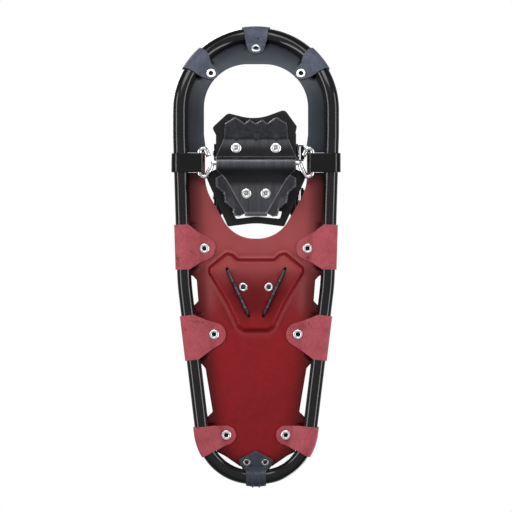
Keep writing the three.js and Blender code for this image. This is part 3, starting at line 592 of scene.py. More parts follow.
def deck_top(name, base, pale, dark):
    """The textured upper face of the same sheet: paler, cross-grained, with dark scuffs."""
    look = Look(name, Specular_IOR_Level=0.2)
    weave = look.maths("ADD", look.noise(900, 3, 0.6, look.stretched(1, 0.2, 1)),
                       look.noise(900, 3, 0.6, look.stretched(0.2, 1, 1)))
    cloud = look.noise(60, 8, 0.7)
    tone = look.ramp(cloud, (0.36, base), (0.66, pale))
    tone = look.mix(tone, tuple(c * 0.6 for c in base), look.ramp(weave, (0.85, 0.4), (1.05, 0.0)))
    where = look.stretched(1, 0.6, 1)
    scuffs = look.ramp(look.noise(75, 9, 0.75, where, distortion=1.3), (0.60, 0.0), (0.635, 0.9))
    look.colour(look.mix(tone, dark, scuffs))
    look.rough(cloud, 0.52, 0.72)
    look.bump(weave, 0.0003, 0.5)
    return look.material


def sheet_edge(name, colour, pale):
    look = Look(name, Specular_IOR_Level=0.3, Roughness=0.6)
    look.colour(look.ramp(look.noise(220, 5), (0.35, colour), (0.65, pale)))
    look.bump(look.noise(800, 3), 0.0001, 0.3)
    return look.material


def steel(name, dark, light, highlight_tone, low, high, worn_tone, worn_share):
    """Coated stamped steel, paler by a painted highlight where its faces would catch the light, and
    bright along its worn edges.
    """
    look = Look(name, Metallic=0.45, Specular_IOR_Level=0.35)
    streak = look.noise(240, 4, 0.5, look.stretched(1, 0.12, 1))
    cloud = look.noise(30, 6, 0.65)
    tone = look.ramp(cloud, (0.35, dark), (0.68, light))
    brushed = look.ramp(look.noise(300, 4, 0.6, look.stretched(1, 0.05, 1)), (0.35, 0.55), (0.65, 1.0))
    # Paler by a painted highlight on the faces that would catch the light.
    tone = look.mix(tone, highlight_tone, look.maths("MULTIPLY", look.attribute("highlight_and_wear"), brushed))
    patches = look.ramp(look.noise(90, 5), (0.30, 0.45), (0.55, 1.0))
    worn = look.maths("MULTIPLY", look.worn_edges(0.0018, 0.02, 0.16), patches)
    look.colour(look.mix(tone, worn_tone, look.maths("MULTIPLY", worn, worn_share)))
    look.rough(streak, low, high)
    look.bump(look.noise(1100, 3, 0.6), 0.00008, 0.3)
    return look.material


def bright_metal(name, tint, low, high):
    look = Look(name, Metallic=1.0)
    cloud = look.noise(120, 5)
    look.colour(look.ramp(cloud, (0.3, tuple(c * 0.8 for c in tint)), (0.6, tint)))
    look.rough(look.noise(500, 4), low, high)
    look.bump(look.noise(700, 2), 0.00004, 0.3)
    return look.material


def moulded(name, dark, light, low, high, grain=1300, rubbed_tone=None):
    """Moulded plastic or rubber with a fine grain and rubbed edges."""
    look = Look(name, Specular_IOR_Level=0.28)
    cloud = look.noise(35, 6, 0.6)
    base = look.ramp(cloud, (0.35, dark), (0.65, light))
    highlight_and_wear = look.worn_edges(0.0014, 0.05, 0.3)
    share = look.maths("MULTIPLY", highlight_and_wear, 0.35)
    look.colour(look.mix(base, rubbed_tone or tuple(c * 3 + 0.015 for c in light), share))
    look.rough(look.noise(90, 6), low, high)
    look.bump(look.cells(grain), 0.0001, 0.35)
    return look.material


TUBE = painted_tube()
# Each under face's last colour is painted shade against the tube; the red face's pale colour is painted
# sheen.
RED_UNDER = deck_under("red_under", (0.235, 0.006, 0.010), (0.37, 0.076, 0.080),
                       (0.055, 0.0008, 0.0015))
RED_TOP = deck_top("red_top", (0.40, 0.066, 0.086), (0.50, 0.105, 0.13), (0.11, 0.03, 0.04))
RED_EDGE = sheet_edge("red_edge", (0.20, 0.012, 0.016), (0.36, 0.07, 0.08))
GREY_UNDER = deck_under("grey_under", (0.046, 0.056, 0.074), (0.056, 0.064, 0.084),
                        (0.020, 0.023, 0.031))
GREY_TOP = deck_top("grey_top", (0.080, 0.090, 0.128), (0.13, 0.14, 0.185), (0.020, 0.022, 0.030))
GREY_EDGE = sheet_edge("grey_edge", (0.02, 0.022, 0.028), (0.06, 0.065, 0.08))
# The toe steel's third colour is the tone of its painted highlights.
TOE_STEEL = steel("toe_steel", (0.010, 0.010, 0.012), (0.020, 0.020, 0.023), (0.125, 0.128, 0.142),
                  0.28, 0.42, (0.42, 0.42, 0.45), 0.9)
HEEL_STEEL = steel("heel_steel", (0.05, 0.053, 0.062), (0.12, 0.125, 0.14), (0.2, 0.2, 0.22),
                   0.34, 0.5, (0.42, 0.43, 0.46), 0.6)
RIVET = bright_metal("rivet_metal", (0.96, 0.96, 0.96), 0.28, 0.40)
DULL_RIVET = bright_metal("dull_rivet_metal", (0.42, 0.40, 0.39), 0.28, 0.42)
# The rivets' bores are painted near black as the shade of a deep hole.
BORE_SHADE = moulded("rivet_bore_shade", (0.004, 0.004, 0.005), (0.012, 0.012, 0.013), 0.4, 0.6)
WIRE = bright_metal("wire_metal", (0.88, 0.89, 0.91), 0.08, 0.18)
PLASTIC = moulded("moulded_plastic", (0.0055, 0.0055, 0.0065), (0.012, 0.012, 0.0135), 0.34, 0.50)
CLIP = moulded("clip_plastic", (0.030, 0.034, 0.050), (0.052, 0.058, 0.080), 0.38, 0.52, 900,
               (0.14, 0.15, 0.19))
BUCKLE = moulded("buckle_plastic", (0.010, 0.010, 0.012), (0.022, 0.022, 0.025), 0.26, 0.40)
STRAP = moulded("strap_rubber", (0.009, 0.009, 0.010), (0.020, 0.020, 0.022), 0.45, 0.62, 900)
BAND = moulded("band_rubber", (0.0030, 0.0030, 0.0036), (0.0065, 0.0065, 0.0075), 0.10, 0.20, 600)


# ---------------------------------------------------------------- frame tube
def frame_tube():
    steps = np.linspace(0, half_frame.length, 260)
    right = [station(1, s)[0] for s in steps]
    right[-1].x = 0.4
    left = [Vector((-p.x, p.y, p.z)) for p in reversed(right[1:])]
    made = tube("frame_tube_body", left + right, TUBE_R, [TUBE], sides=40)
    piece(made, "frame", "frame_tube")


# ---------------------------------------------------------------- rivets
def rivet(node, place, up, grip, body, head=5.0, rim=6.1, bore=2.6, metal=RIVET):
    """A tubular rivet: a rolled rim round a bore below, painted near black as the shade of a deep hole,
    and a low dome above.
    """
    tall = grip + 0.3
    profile = [
        (0.05, tall + 1.5), (head * 0.45, tall + 1.4), (head * 0.8, tall + 1.0), (head, tall + 0.35),
        (head, tall), (bore + 0.8, tall), (bore + 0.8, -0.05), (rim, -0.1), (rim + 0.05, -0.45),
        (rim - 0.35, -0.95), (rim - 1.1, -1.25), (bore + 1.1, -1.25), (bore + 0.45, -1.0),
        (bore + 0.08, -0.6), (bore, -0.3), (bore * 0.94, 1.6), (bore * 0.7, 2.2), (0.05, 2.3),
    ]
    made = turned(f"{node}_turned", profile, place, up, [metal, BORE_SHADE], inner=14)
    piece(made, body, node)


def pan_rivet(node, place, up, grip, body):
    """A pan-head rivet: a broad shining head below with a shallow punched recess, set above."""
    tall = grip + 0.3
    profile = [
        (0.05, tall + 1.6), (2.4, tall + 1.5), (4.2, tall + 1.05), (5.2, tall + 0.3), (5.2, tall),
        (3.2, tall), (3.2, -0.05), (6.3, -0.1), (6.45, -0.5), (6.1, -1.0), (5.2, -1.4), (3.9, -1.55),
        (3.1, -1.45), (2.75, -1.0), (2.3, -0.75), (1.25, -0.7), (0.95, -0.95), (0.4, -1.05),
        (0.05, -1.05),
    ]
    made = turned(f"{node}_turned", profile, place, up, [RIVET, DULL_RIVET], inner=13)
    piece(made, body, node)


# ---------------------------------------------------------------- decks
UNDER = DECK_OFFSET - SHEET - 0.1
WRAP_R = TUBE_R + 0.55 + SHEET / 2
LEAVES = WRAP_R + 9.5
RAIL_CLEAR = 7.9
SLIT = 0.03
BAND_HALF = 11.9
RIVET_HOLE = 3.1
DECK_GRIP = 2.9
HEEL_GRIP = 8
GREY = [GREY_TOP, GREY_UNDER, GREY_EDGE]
RED = [RED_TOP, RED_UNDER, RED_EDGE]


def smoothed(points, passes):
    """A finely stepped line with its kinks eased, its ends kept."""
    for _ in range(passes):
        points = [
            points[0],
            *((a + b * 2 + c) / 4 for a, b, c in zip(points, points[1:], points[2:])),
            points[-1],
        ]
    return points


def wrap_line(rivet_in, end):
    """The sheet's middle across a wrap, (inward, up), from the deck round the tube to its end."""

    def touch(x, y, sign):
        return math.degrees(math.atan2(y, x) + sign * math.acos(WRAP_R / math.hypot(x, y)))

    upper = (WRAP_R + 7, DECK_OFFSET)
    lower = (max(rivet_in - 7.2, WRAP_R + 1), UNDER)
    rounding = arc(0, 0, WRAP_R, touch(*upper, 1), 360 + touch(*lower, -1), 40)
    line = [Vector((LEAVES, DECK_OFFSET)), Vector(upper), *rounding, Vector(lower)]
    line.append(Vector((rivet_in + end + 1, UNDER)))
    return Line(smoothed(resample(line, 0.6, closed=False), 12))


def tab(name, side, far, half, rivet_in, end, shift=0.0):
    return {"name": name, "side": side, "far": far, "half": half, "rivet_in": rivet_in, "end": end,
            "shift": shift, "line": wrap_line(rivet_in, end), "at": station(side, far)}


SIDES = (("right", -1), ("left", 1))
NOSE_TABS = [tab("centre", 1, 0.0, 15.4, 20.5, 10)]
NOSE_TABS += [tab(name, side, far_at_y(-238.6), 14.5, 22, 9) for name, side in SIDES]
MAIN_TABS = [
    tab(f"{row}_{name}", side, far_at_y(y), half, rivet_in, end, shift)
    for row, y, half, rivet_in, shift, end in (
        ("front", -11.7, 27.6, 25.6, 2.5, 14),
        ("middle", 99.7, 27.6, 28.5, -0.5, 14.5),
        ("rear", 225.7, 17.2, 28, 1.8, 12),
    )
    for name, side in SIDES
]


rail_far = np.arange(0, half_frame.length, 0.5)
rail_at = np.array([tuple(half_frame.point(s)) for s in rail_far])
rail_along = np.array([tuple(half_frame.tangent(s)) for s in rail_far])


def from_rail(far, inward):
    """The plan place far along the frame's left half and inward of its middle."""
    p, t = half_frame.point(abs(far)), half_frame.tangent(abs(far))
    made = p + Vector((-t.y, t.x)) * inward
    return made if far >= 0 else Vector((-made.x, made.y))


def to_rail(x, y):
    """The side, how far along the frame, and how far inward a plan place is."""
    off = np.array([abs(x), y]) - rail_at
    i = int(np.argmin(np.hypot(off[:, 0], off[:, 1])))
    along = off[i] @ rail_along[i]
    inward = off[i] @ np.array([-rail_along[i][1], rail_along[i][0]])
    return (-1 if x < 0 else 1), max(rail_far[i] + along, 0.0), inward


def tab_outline(tab):
    """The tab's edge drawn flat, as (along, inward), from its front slit to its rear slit."""
    line, half, end, shift = tab["line"], tab["half"], tab["end"], tab["shift"]
    rivet_at = line.length - end - 1
    low = rivet_at - tab["rivet_in"] + 2

    def touch(x, sign):
        dx, dy = x - shift, low - rivet_at
        return math.atan2(dy, dx) + sign * math.acos(end / math.hypot(dx, dy))

    start, finish = touch(-half, -1), touch(half, 1)
    if start < finish:
        start += 2 * math.pi
    tip = [
        (shift + end * math.cos(a), rivet_at + end * math.sin(a)) for a in np.linspace(start, finish, 26)
    ]
    edge = [(-half, 0), (-half, low), *tip, (half, low), (half, 0)]
    edge = resample([Vector(p) for p in edge], 1.6, closed=False)
    return [(tab["far"] + p.x, LEAVES - p.y) for p in edge]


def tab_holes(tab):
    """Where the tab's rivet passes through the flat sheet: its tab, and the deck above it."""
    hole = circle(0, 0, RIVET_HOLE, 16)
    side, far = tab["side"], tab["far"] + tab["shift"]
    rivet_at = tab["line"].length - tab["end"] - 1
    middles = (LEAVES - rivet_at, tab["rivet_in"])
    return [[from_rail(side * (far + p.x), inward + p.y) for p in hole] for inward in middles]


def rail_run(start, finish, gaps):
    """The deck's edge between two tabs, dipping in round each gap."""
    made, done = [], []
    for far in np.arange(start, finish, 1.8):
        p = from_rail(far, RAIL_CLEAR)
        gap = next((g for g in gaps if g[0][1] <= p.y <= g[-1][1]), None)
        if gap is None:
            made.append(p)
        elif gap not in done:
            made += rounded(gap, closed=False)[1:-1]
            done.append(gap)
    return made


def rail_edge(start, finish, tabs, gaps=()):
    """The deck's edge along the frame's left side in plan, running out round each tab.

    Without a finish it stops at the last tab's rear."""
    made = []
    far = start
    for tab in tabs:
        a, b = tab["far"] - tab["half"], tab["far"] + tab["half"]
        if a > far:
            made += rail_run(far, a - SLIT, gaps)
            made += [from_rail(a - SLIT, RAIL_CLEAR), from_rail(a - SLIT, LEAVES - 0.5)]
        made += [from_rail(s, q) for s, q in tab_outline(tab) if s >= start]
        far = b + SLIT
        made.append(from_rail(far, LEAVES - 0.5))
        if finish or tab is not tabs[-1]:
            made.append(from_rail(far, RAIL_CLEAR))
    return made + (rail_run(far + 1.8, finish, gaps) if finish else [from_rail(far, 10)])


def sheet_place(tabs):
    """Carries a flat deck outline to its place: plain deck, or round the tube within a tab."""

    def place(x, y):
        side, far, inward = to_rail(x, y)
        if inward < LEAVES:
            for tab in tabs:
                if abs(side * far - tab["side"] * tab["far"]) < tab["half"] + 0.2:
                    gone = LEAVES - inward
                    p = tab["line"].point(gone)
                    at = station(side, far)
                    root = from_rail(side * far, LEAVES)
                    step = deck_place(root.x, root.y) - beside(at, LEAVES, DECK_OFFSET)
                    fade = float(fade_in(9 - gone, 0, 9))
                    made = beside(at, p.x, p.y) + step * fade
                    if p.x < 0 or gone < tab["line"].length / 2:
                        return made
                    shift = far * side * tab["side"] - tab["far"]
                    straight = beside(tab["at"], p.x, p.y, shift)
                    return made.lerp(straight, float(fade_in(p.x, 2, 16)))
        return deck_place(x, y)

    return place


def tab_points(tabs):
    """Points in rows across each tab, so that it bends evenly."""
    made = []
    for tab in tabs:
        for row, t in enumerate(np.arange(0, tab["line"].length, 1.9)):
            stops = np.arange(-tab["half"] + 1.2 * (row % 2), tab["half"], 2.4)
            made += [from_rail(tab["side"] * (tab["far"] + s), LEAVES - t) for s in stops]
    return made


def fade_in(values, low, high):
    t = np.clip((values - low) / (high - low), 0, 1)
    return t * t * (3 - 2 * t)


def painted_shade(points):
    """A painted shade: 1 against the frame's tube, 0 in the open middle of a deck."""
    inward = np.array([to_rail(x, y)[2] for x, y in points])
    return 1 - fade_in(inward, 9, 30)


def nose_deck():
    high = AXLE_Y - BAND_HALF - 0.5
    tabs = [NOSE_TABS[0], NOSE_TABS[2]]
    outer = rail_edge(0, far_at_y(high), tabs)
    outer.append(Vector((outer[-1].x, high)))
    opening = rounded(
        [(0, -237.4), (64, -237.4, 54), (64, -150, 30), (62.2, -136), (62.2, high)], closed=False
    )
    outline = across_middle(outer) + outer + opening[::-1] + across_middle(opening)[::-1]

    def shades(points):
        # Painted shade against the tube, and paler towards the toe's tip.
        return {"painted_shade": painted_shade(points), "highlight_and_wear": fade_in(-points[:, 1], 235, 262)}

    holes = [hole for tab in NOSE_TABS for hole in tab_holes(tab)]
    made = bent_sheet("nose_deck_sheet", outline, sheet_place(NOSE_TABS), SHEET, GREY, spacing=3.2,
                      step=1.6, holes=holes, extra=tab_points(NOSE_TABS), shades=shades)
    piece(made, "frame", "nose_deck")


PLATEAU = rounded(mirrored([
    (21.9, 2.2, 3), (27.7, -3.4, 4), (36, -6, 6), (59, 12.7, 6), (59.6, 20, 6), (36.5, 58.8, 20),
    (23.7, 86.2, 6), (16, 92.6, 6),
]))
WALL = 5.6
LIP = 3.2
FLOOR = 22.0
BLADE_TOP = Vector((34.8, 17))
BLADE_LOW = Vector((10, 70.5))
BLADE_LENGTH = (BLADE_LOW - BLADE_TOP).length
HEEL_RIVET_X, HEEL_RIVET_Y = 16.0, 37.6
RAIL_GAPS = [
    [(80, 23.6), (78, 23.6, 1.5), (73, 28.7, 2.5), (71, 54.7, 2.5), (76, 59.8, 1.5), (80, 59.8)],
    [
        (70, 132.1), (66.9, 132.1, 1.5), (62.2, 137.5, 2.5), (53.3, 191, 2.5), (60, 197.3, 1.5),
        (64, 197.3),
    ],
]


def plateau_depth(points):
    """How deep within the plateau's edge plan points are. It is negative outside."""
    return distance(points, PLATEAU) * np.where(inside(points, PLATEAU), 1, -1)


def inset_loop(loop, depth):
    """The line that runs inside a closed loop at a depth."""
    loop = resample(loop, 1.7)
    made = []
    for i, p in enumerate(loop):
        t = (loop[(i + 1) % len(loop)] - loop[i - 1]).normalized()
        made.append(p + Vector((-t.y, t.x)) * depth)
    near = distance(np.array([(p.x, p.y) for p in made]), loop)
    return [p for p, d in zip(made, near) if abs(d - abs(depth)) < 0.3]


def pressed(points):
    """How far the deck is lifted: down in the heel plateau, up along its lip."""
    deep = plateau_depth(points)
    wall = -PLATEAU_DEPTH * fade_in(deep, -0.2, WALL)
    lip = 0.9 * np.exp(-(((deep + LIP) / 2.2) ** 2))
    bowl = np.zeros(len(points))
    for _, side in SIDES:
        far = (points[:, 0] - side * HEEL_RIVET_X) ** 2 + (points[:, 1] - HEEL_RIVET_Y) ** 2
        bowl += 1.2 * np.exp(-(far / 60))
    crown = -0.9 * fade_in(deep, WALL, 24) * np.exp(-(((points[:, 1] - 8) / 22) ** 2))
    return wall + lip + bowl * (deep > WALL) + crown


def main_deck():
    front = AXLE_Y - BAND_HALF - 0.2
    band_end = AXLE_Y + BAND_HALF + 0.4
    tabs = [t for t in MAIN_TABS if t["side"] > 0]
    rail = rail_edge(far_at_y(band_end), None, tabs, RAIL_GAPS)
    end = rounded([(48, 240.6), (38.1, 245.5, 30), (19.8, 258.2, 3), (0, 258.2)], closed=False)
    corners = [Vector((62.6, front)), Vector((73, front)), Vector((73, band_end))]
    outer = corners + rail + end
    opening = rounded([(62.6, front), (62.6, -84, 56), (27, -22.1, 43), (0, -22.1)], closed=False)[1:]
    outline = outer + across_middle(outer) + across_middle(opening)[::-1] + opening[::-1]
    direction = (BLADE_LOW - BLADE_TOP).normalized()
    a, b = BLADE_TOP - direction * 2.2, BLADE_LOW + direction * 3
    holes = [capsule(side * a.x, a.y, side * b.x, b.y, 2.0) for side in (-1, 1)]
    holes += [circle(side * HEEL_RIVET_X, HEEL_RIVET_Y, RIVET_HOLE, 16) for _, side in SIDES]
    holes += [hole for tab in MAIN_TABS for hole in tab_holes(tab)]
    depths = (-6, -4.4, -3, -1.6, -0.2, 1.1, 2.4, 3.7, 5, 6.4)
    lines = [p for depth in depths for p in inset_loop(PLATEAU, depth)]

    def shades(points):
        # Painted light on the red deck: painted sheen ahead and on the plateau's top, painted highlight
        # bands beside the plateau and along its lower lip, and painted shade in its upper channel and
        # against the tube.
        deep = plateau_depth(points)
        y = points[:, 1]
        ahead = 1 - fade_in(y, -20, 95)
        top = fade_in(deep, 2, 9) * (1 - fade_in(y, -2, 48))
        lip = 0.55 * np.exp(-(((deep + 2.4) / 1.1) ** 2)) * fade_in(y, 25, 60)
        channel = 0.55 * np.exp(-(((deep - 2.2) / 1.6) ** 2)) * (1 - fade_in(y, 12, 30))
        bands = 0.5 * np.exp(-(((np.abs(points[:, 0]) - 56) / 6) ** 2))
        bands *= fade_in(-np.abs(y - 25), -60, -25)
        highlight_and_wear = 0.9 * ahead * (deep < 1) + top + bands * (deep < 0) + lip
        return {"painted_shade": np.clip(painted_shade(points) + channel, 0, 1), "highlight_and_wear": np.clip(highlight_and_wear, 0, 1)}

    made = bent_sheet("main_deck_sheet", outline, sheet_place(MAIN_TABS), SHEET, RED, spacing=3.6,
                      step=2.0, holes=holes, extra=[*lines, *tab_points(MAIN_TABS)], lift=pressed,
                      shades=shades)
    piece(made, "frame", "main_deck")


# ---------------------------------------------------------------- heel crampon and pad
WEB_Z = FLOOR + SHEET + 0.3


def upright(name, outline, basis, origin, low, high, materials, spacing=5.0, step=2.0, **how):
    """A flat shape drawn on two axes and extruded along the third, from low to high."""
    a, b, c = basis
    middle = origin + c * ((low + high) / 2)
    return bent_sheet(name, outline, lambda s, t: middle + a * s + b * t, high - low, materials,
                      spacing=spacing, step=step, **how)


def flat_plate(name, outline, low, high, materials, **how):
    return upright(name, outline, (X, Y, Z), Vector(), low, high, materials, **how)


def heel_crampon():
    top = WEB_Z + STEEL
    teeth = [
        (0, 0), (BLADE_LENGTH, 0), (BLADE_LENGTH + 0.5, 14, 1), (50, top, 1), (41, 15, 1.5), (32, top, 1),
        (23, 15, 1.5), (14, top, 1), (4, 13, 1.5), (-0.5, 8, 1),
    ]
    parts = []
    for side in (-1, 1):
        along = Vector((side * (BLADE_LOW.x - BLADE_TOP.x), BLADE_LOW.y - BLADE_TOP.y, 0)).normalized()
        origin = Vector((side * BLADE_TOP.x, BLADE_TOP.y, top))
        basis = (along, -Z, along.cross(-Z))
        parts.append(upright(f"heel_blade_{side}", rounded(teeth), basis, origin, -1, 1, [HEEL_STEEL],
                             spacing=3))
    web = rounded(mirrored([(14, 20, 5), (36, 16.6), (11, 70.2), (5, 60, 5)]))
    parts.append(flat_plate("heel_web", web, WEB_Z, top - 0.05, [HEEL_STEEL]))
    piece(joined("heel_crampon_plate", parts), "frame", "heel_crampon")


def scaled(loop, share, middle=40):
    """A loop drawn in or out about the heel's middle."""
    return [Vector((p.x * share, middle + (p.y - middle) * share)) for p in loop]


def heel_pad():
    flange = flat_plate("pad_flange", scaled(PLATEAU, 1.08), 30.7, SOLE_TOP, [PLASTIC], edge=1.2,
                        segments=3, spacing=6)
    core = flat_plate("pad_core", scaled(PLATEAU, 0.87), 26.1, 31, [PLASTIC], edge=0.6, spacing=8)
    parts = [flange, core]
    for row, y in enumerate((-2, 10, 22, 52, 64, 76)):
        half = 26 if y < 30 else 20 - (y - 52) * 0.3
        bar = capsule(-half, y, half, y, 2.2)
        parts.append(flat_plate(f"pad_bar_{row}", bar, SOLE_TOP - 0.4, SOLE_TOP + 0.9, [PLASTIC],
                                edge=0.5))
    piece(joined("heel_pad_moulding", parts), "frame", "heel_pad")


# ---------------------------------------------------------------- tail clip
CLIP_T = 2.6
CLIP_UNDER = DECK_OFFSET - SHEET / 2 - 0.3 - CLIP_T
TAIL_RIVET_IN = 18.2
TAIL_RIVET_X = 11.4
CLIP_REACH = 36


def tail_clip():
    at = station(1, half_frame.length)
    radius = TUBE_R + 0.5 + CLIP_T / 2
    under, over = CLIP_UNDER + CLIP_T / 2, DECK_OFFSET + SHEET / 2 + 0.3 + CLIP_T / 2
    loop = arc(0, 0, radius, -20, -295, 40)
    below = [Vector((CLIP_REACH, under)), Vector((12.4, under))]
    line = Line([*below, *loop, Vector((15, over)), Vector((CLIP_REACH, over))])
    far = line.length

    def across(y):
        return CLIP_REACH - (TAIL_Y - 0.8 - y) / 0.975

    outline = rounded(mirrored([
        (20.5, across(248.4), 2.5), (20.4, across(252.5), 2), (18.6, across(258.2), 5),
        (13, across(267), 8), (12.2, across(272)), (12.2, far - 27, 4), (18, far - 20, 4),
        (18, far - 9, 4), (6, far - 4, 4),
    ]))
    outline = [Vector((0, across(238.6))), *outline]

    def place(x, t):
        p = line.point(t)
        return beside(at, p.x, p.y) + X * x - Y * (x * x / 130 if p.x < 10 else 0)

    rivet_at = CLIP_REACH - TAIL_RIVET_IN
    spots = [(side * TAIL_RIVET_X, t) for _, side in SIDES for t in (rivet_at, far - rivet_at)]
    holes = [circle(x, t, 2.7, 16) for x, t in spots]
    border = [p for depth in (1.4, 2.2, 3.0, 3.8) for p in inset_loop(outline, depth)]

    def raised(points):
        ridge = np.exp(-(((distance(points, outline) - 2.3) / 0.7) ** 2))
        fold = np.exp(-(((points[:, 1] - 24.5) / 0.8) ** 2))
        return -0.55 * ridge * (points[:, 1] < 23) + 0.5 * fold

    parts = [bent_sheet("clip_body", outline, place, CLIP_T, [CLIP], spacing=1.8, step=1.4, edge=0.7,
                        segments=3, holes=holes, extra=border, lift=raised)]
    for side in (-1, 1):
        rib = [beside(at, p.x, p.y) + X * side * 4 for p in arc(0, 0, radius + 1.5, 150, 318, 30)]
        parts.append(ribbon(f"clip_rib_{side}", rib, X, 2.0, 1.8, [CLIP], corner=0.6))
        spot = beside(at, TAIL_RIVET_IN, CLIP_UNDER) + X * side * TAIL_RIVET_X
        boss = [(4.7, 0.1), (4.7, -0.9), (5.2, -1.2), (6.0, -1.0), (6.7, 0.1)]
        parts.append(turned(f"clip_boss_{side}", boss, spot, up_at(spot.y), [CLIP]))
    piece(joined("tail_clip_moulding", parts), "frame", "tail_clip")


# ---------------------------------------------------------------- axle and bands
RING_X = 69.5


def axle():
    end = [
        (-53.9, AXLE_Y, 3.5), (-55.6, -109, 3.5), (-63.6, -94.5, 4.5), (-RING_X, -102.5, 4),
        (-RING_X, -130, 4.5), (-64, -136.5, 4), (-58.2, -123.2),
    ]
    other = [(-x, *rest) for x, *rest in end]
    line = resample(rounded(end[::-1] + other, closed=False, chord=0.7), 6, closed=False)
    path = [Vector((p.x, p.y, AXLE_Z)) for p in line]
    made = tube("pivot_axle_wire", path, AXLE_R, [WIRE], sides=24)
    piece(made, "frame", "pivot_axle")


def band(name, side):
    tube_x = half_frame.point(far_at_y(AXLE_Y)).x
    r, s = TUBE_R + 0.6 + 1.2, AXLE_R + 0.3 + 1.2
    dx, dz = tube_x - RING_X, FRAME_Z - AXLE_Z
    tilt = math.degrees(math.atan2(dz, dx))
    half = math.degrees(math.acos((r - s) / math.hypot(dx, dz)))
    line = arc(tube_x, FRAME_Z, r, tilt - 180 + half, tilt + 180 - half, 40)
    line += arc(RING_X, AXLE_Z, s, tilt + 180 - half, tilt + 180 + half, 20)
    path = [Vector((side * p.x, AXLE_Y, p.y)) for p in resample(line, 3)]
    made = ribbon(f"pivot_band_{name}_loop", path, Y, 2 * BAND_HALF, 2.4, [BAND], closed=True, corner=0.7)
    piece(made, "frame", f"pivot_band_{name}")


# ---------------------------------------------------------------- toe crampon
BEND_Y = -145.6
CRAMPON_RIVETS = {
    "front_right": (-24.4, -133.6), "front_left": (24.4, -133.6),
    "rear_right": (-12.2, -77.4), "rear_left": (12.2, -77.4),
}
GUSSETS = (-24, 0.5, 25)


def gusseted(far_bend):
    """Raised creases that stiffen the front bend, as a lift along the corner's own middle."""
    lean = (Y - Z).normalized()

    def place_lift(x, t):
        rise_here = max(0.0, 1 - abs(t - far_bend) / 9)
        across = sum(math.exp(-(((x - g) / 2.6) ** 2)) for g in GUSSETS)
        return lean * (2.4 * rise_here * across)

    return place_lift


def toe_crampon():
    z = PLATE_Z + STEEL / 2
    low = AXLE_Z - AXLE_R - 0.3 - STEEL / 2
    hump = [(-5.9, z, 2), (-4.6, low + 0.9, 4.5), (4.2, low, 8), (17, z, 22)]
    hump = [(AXLE_Y + across, height, radius) for across, height, radius in hump]
    side_line = Line(rounded([
        (BEND_Y - z - 1, -1), (BEND_Y, z, 3), *hump, (-53.2, z, 1.5), (-49.5, z - 3.4),
    ], closed=False, chord=0.5))
    ys = np.maximum.accumulate(side_line.at[:, 0])

    def far(y):
        return float(np.interp(y, ys, side_line.far))

    outline = rounded([(x, far(y), r) for x, y, r in mirrored([
        (13, -50, 1.5), (14.6, -53.5, 0), (42.3, -101.2, 2), (48.8, -107.5, 1), (48.8, -116, 0),
        (50, -121.5, 2), (39.4, BEND_Y, 0), (38, -163, 1), (25.1, -170.8, 1.2), (13.9, -163, 1.5),
        (7.9, -167.6, 1.2), (0, -163, 1.5),
    ])])
    creased = gusseted(far(BEND_Y))

    def shades(points):
        # Painted highlights: on the front claw, at the top of the front strip, on the hump's crest and on
        # the rear plate.
        far_on = points[:, 1]
        claw = 0.75 * (1 - fade_in(far_on, far(BEND_Y) - 4, far(BEND_Y) + 1))
        front = 0.9 * fade_in(far_on, far(BEND_Y), far(BEND_Y) + 3)
        front *= 1 - fade_in(far_on, far(-143), far(-130))
        ridge = 0.8 * fade_in(far_on, far(-120), far(-118))
        ridge *= 1 - fade_in(far_on, far(-116.5), far(-106))
        rear = 0.8 * fade_in(far_on, far(-93), far(-84))
        return {"highlight_and_wear": claw + front + ridge + rear}

    def bed_place(x, t):
        return Vector((x, *side_line.point(t))) + creased(x, t)

    parts = [bent_sheet("crampon_bed", outline, bed_place, STEEL, [TOE_STEEL], spacing=1.9, step=1.4,
                        edge=0.35, shades=shades)]
    lean = math.radians(62.5)
    teeth = [
        (1, 1.5), (1, 19, 1), (10.3, 30, 1.2), (22, 20.5, 1.5), (32.4, 30, 1.2), (44.5, 20.5, 1.5),
        (52.5, 27, 1.2), (56.4, 16, 1), (56.4, 1.5),
    ]
    flap = Line(rounded([(-2, z), (0, z, 2.5), (32 * math.cos(lean), z - 32 * math.sin(lean))],
                        closed=False, chord=0.5))
    for side in (-1, 1):
        along = Vector((-28.9 * side, 50.1, 0)).normalized()
        out = Vector((50.1 * side, 28.9, 0)).normalized()
        start = Vector((42.3 * side, -101.6, -0.03))

        def place(s, t, start=start, along=along, out=out):
            p = flap.point(t)
            return start + along * s + out * p.x + Z * p.y

        # The side claws carry an even painted highlight.
        parts.append(bent_sheet(f"crampon_claw_{side}", rounded(teeth), place, STEEL, [TOE_STEEL],
                                spacing=2.4, step=1.4, edge=0.35,
                                shades=lambda points: {"highlight_and_wear": np.full(len(points), 0.55)}))
    piece(joined("toe_crampon_plate", parts), "binding", "toe_crampon")


# ---------------------------------------------------------------- binding base
BASE_LOW = PLATE_Z + STEEL + 0.3
BASE_MID = BASE_LOW + 4


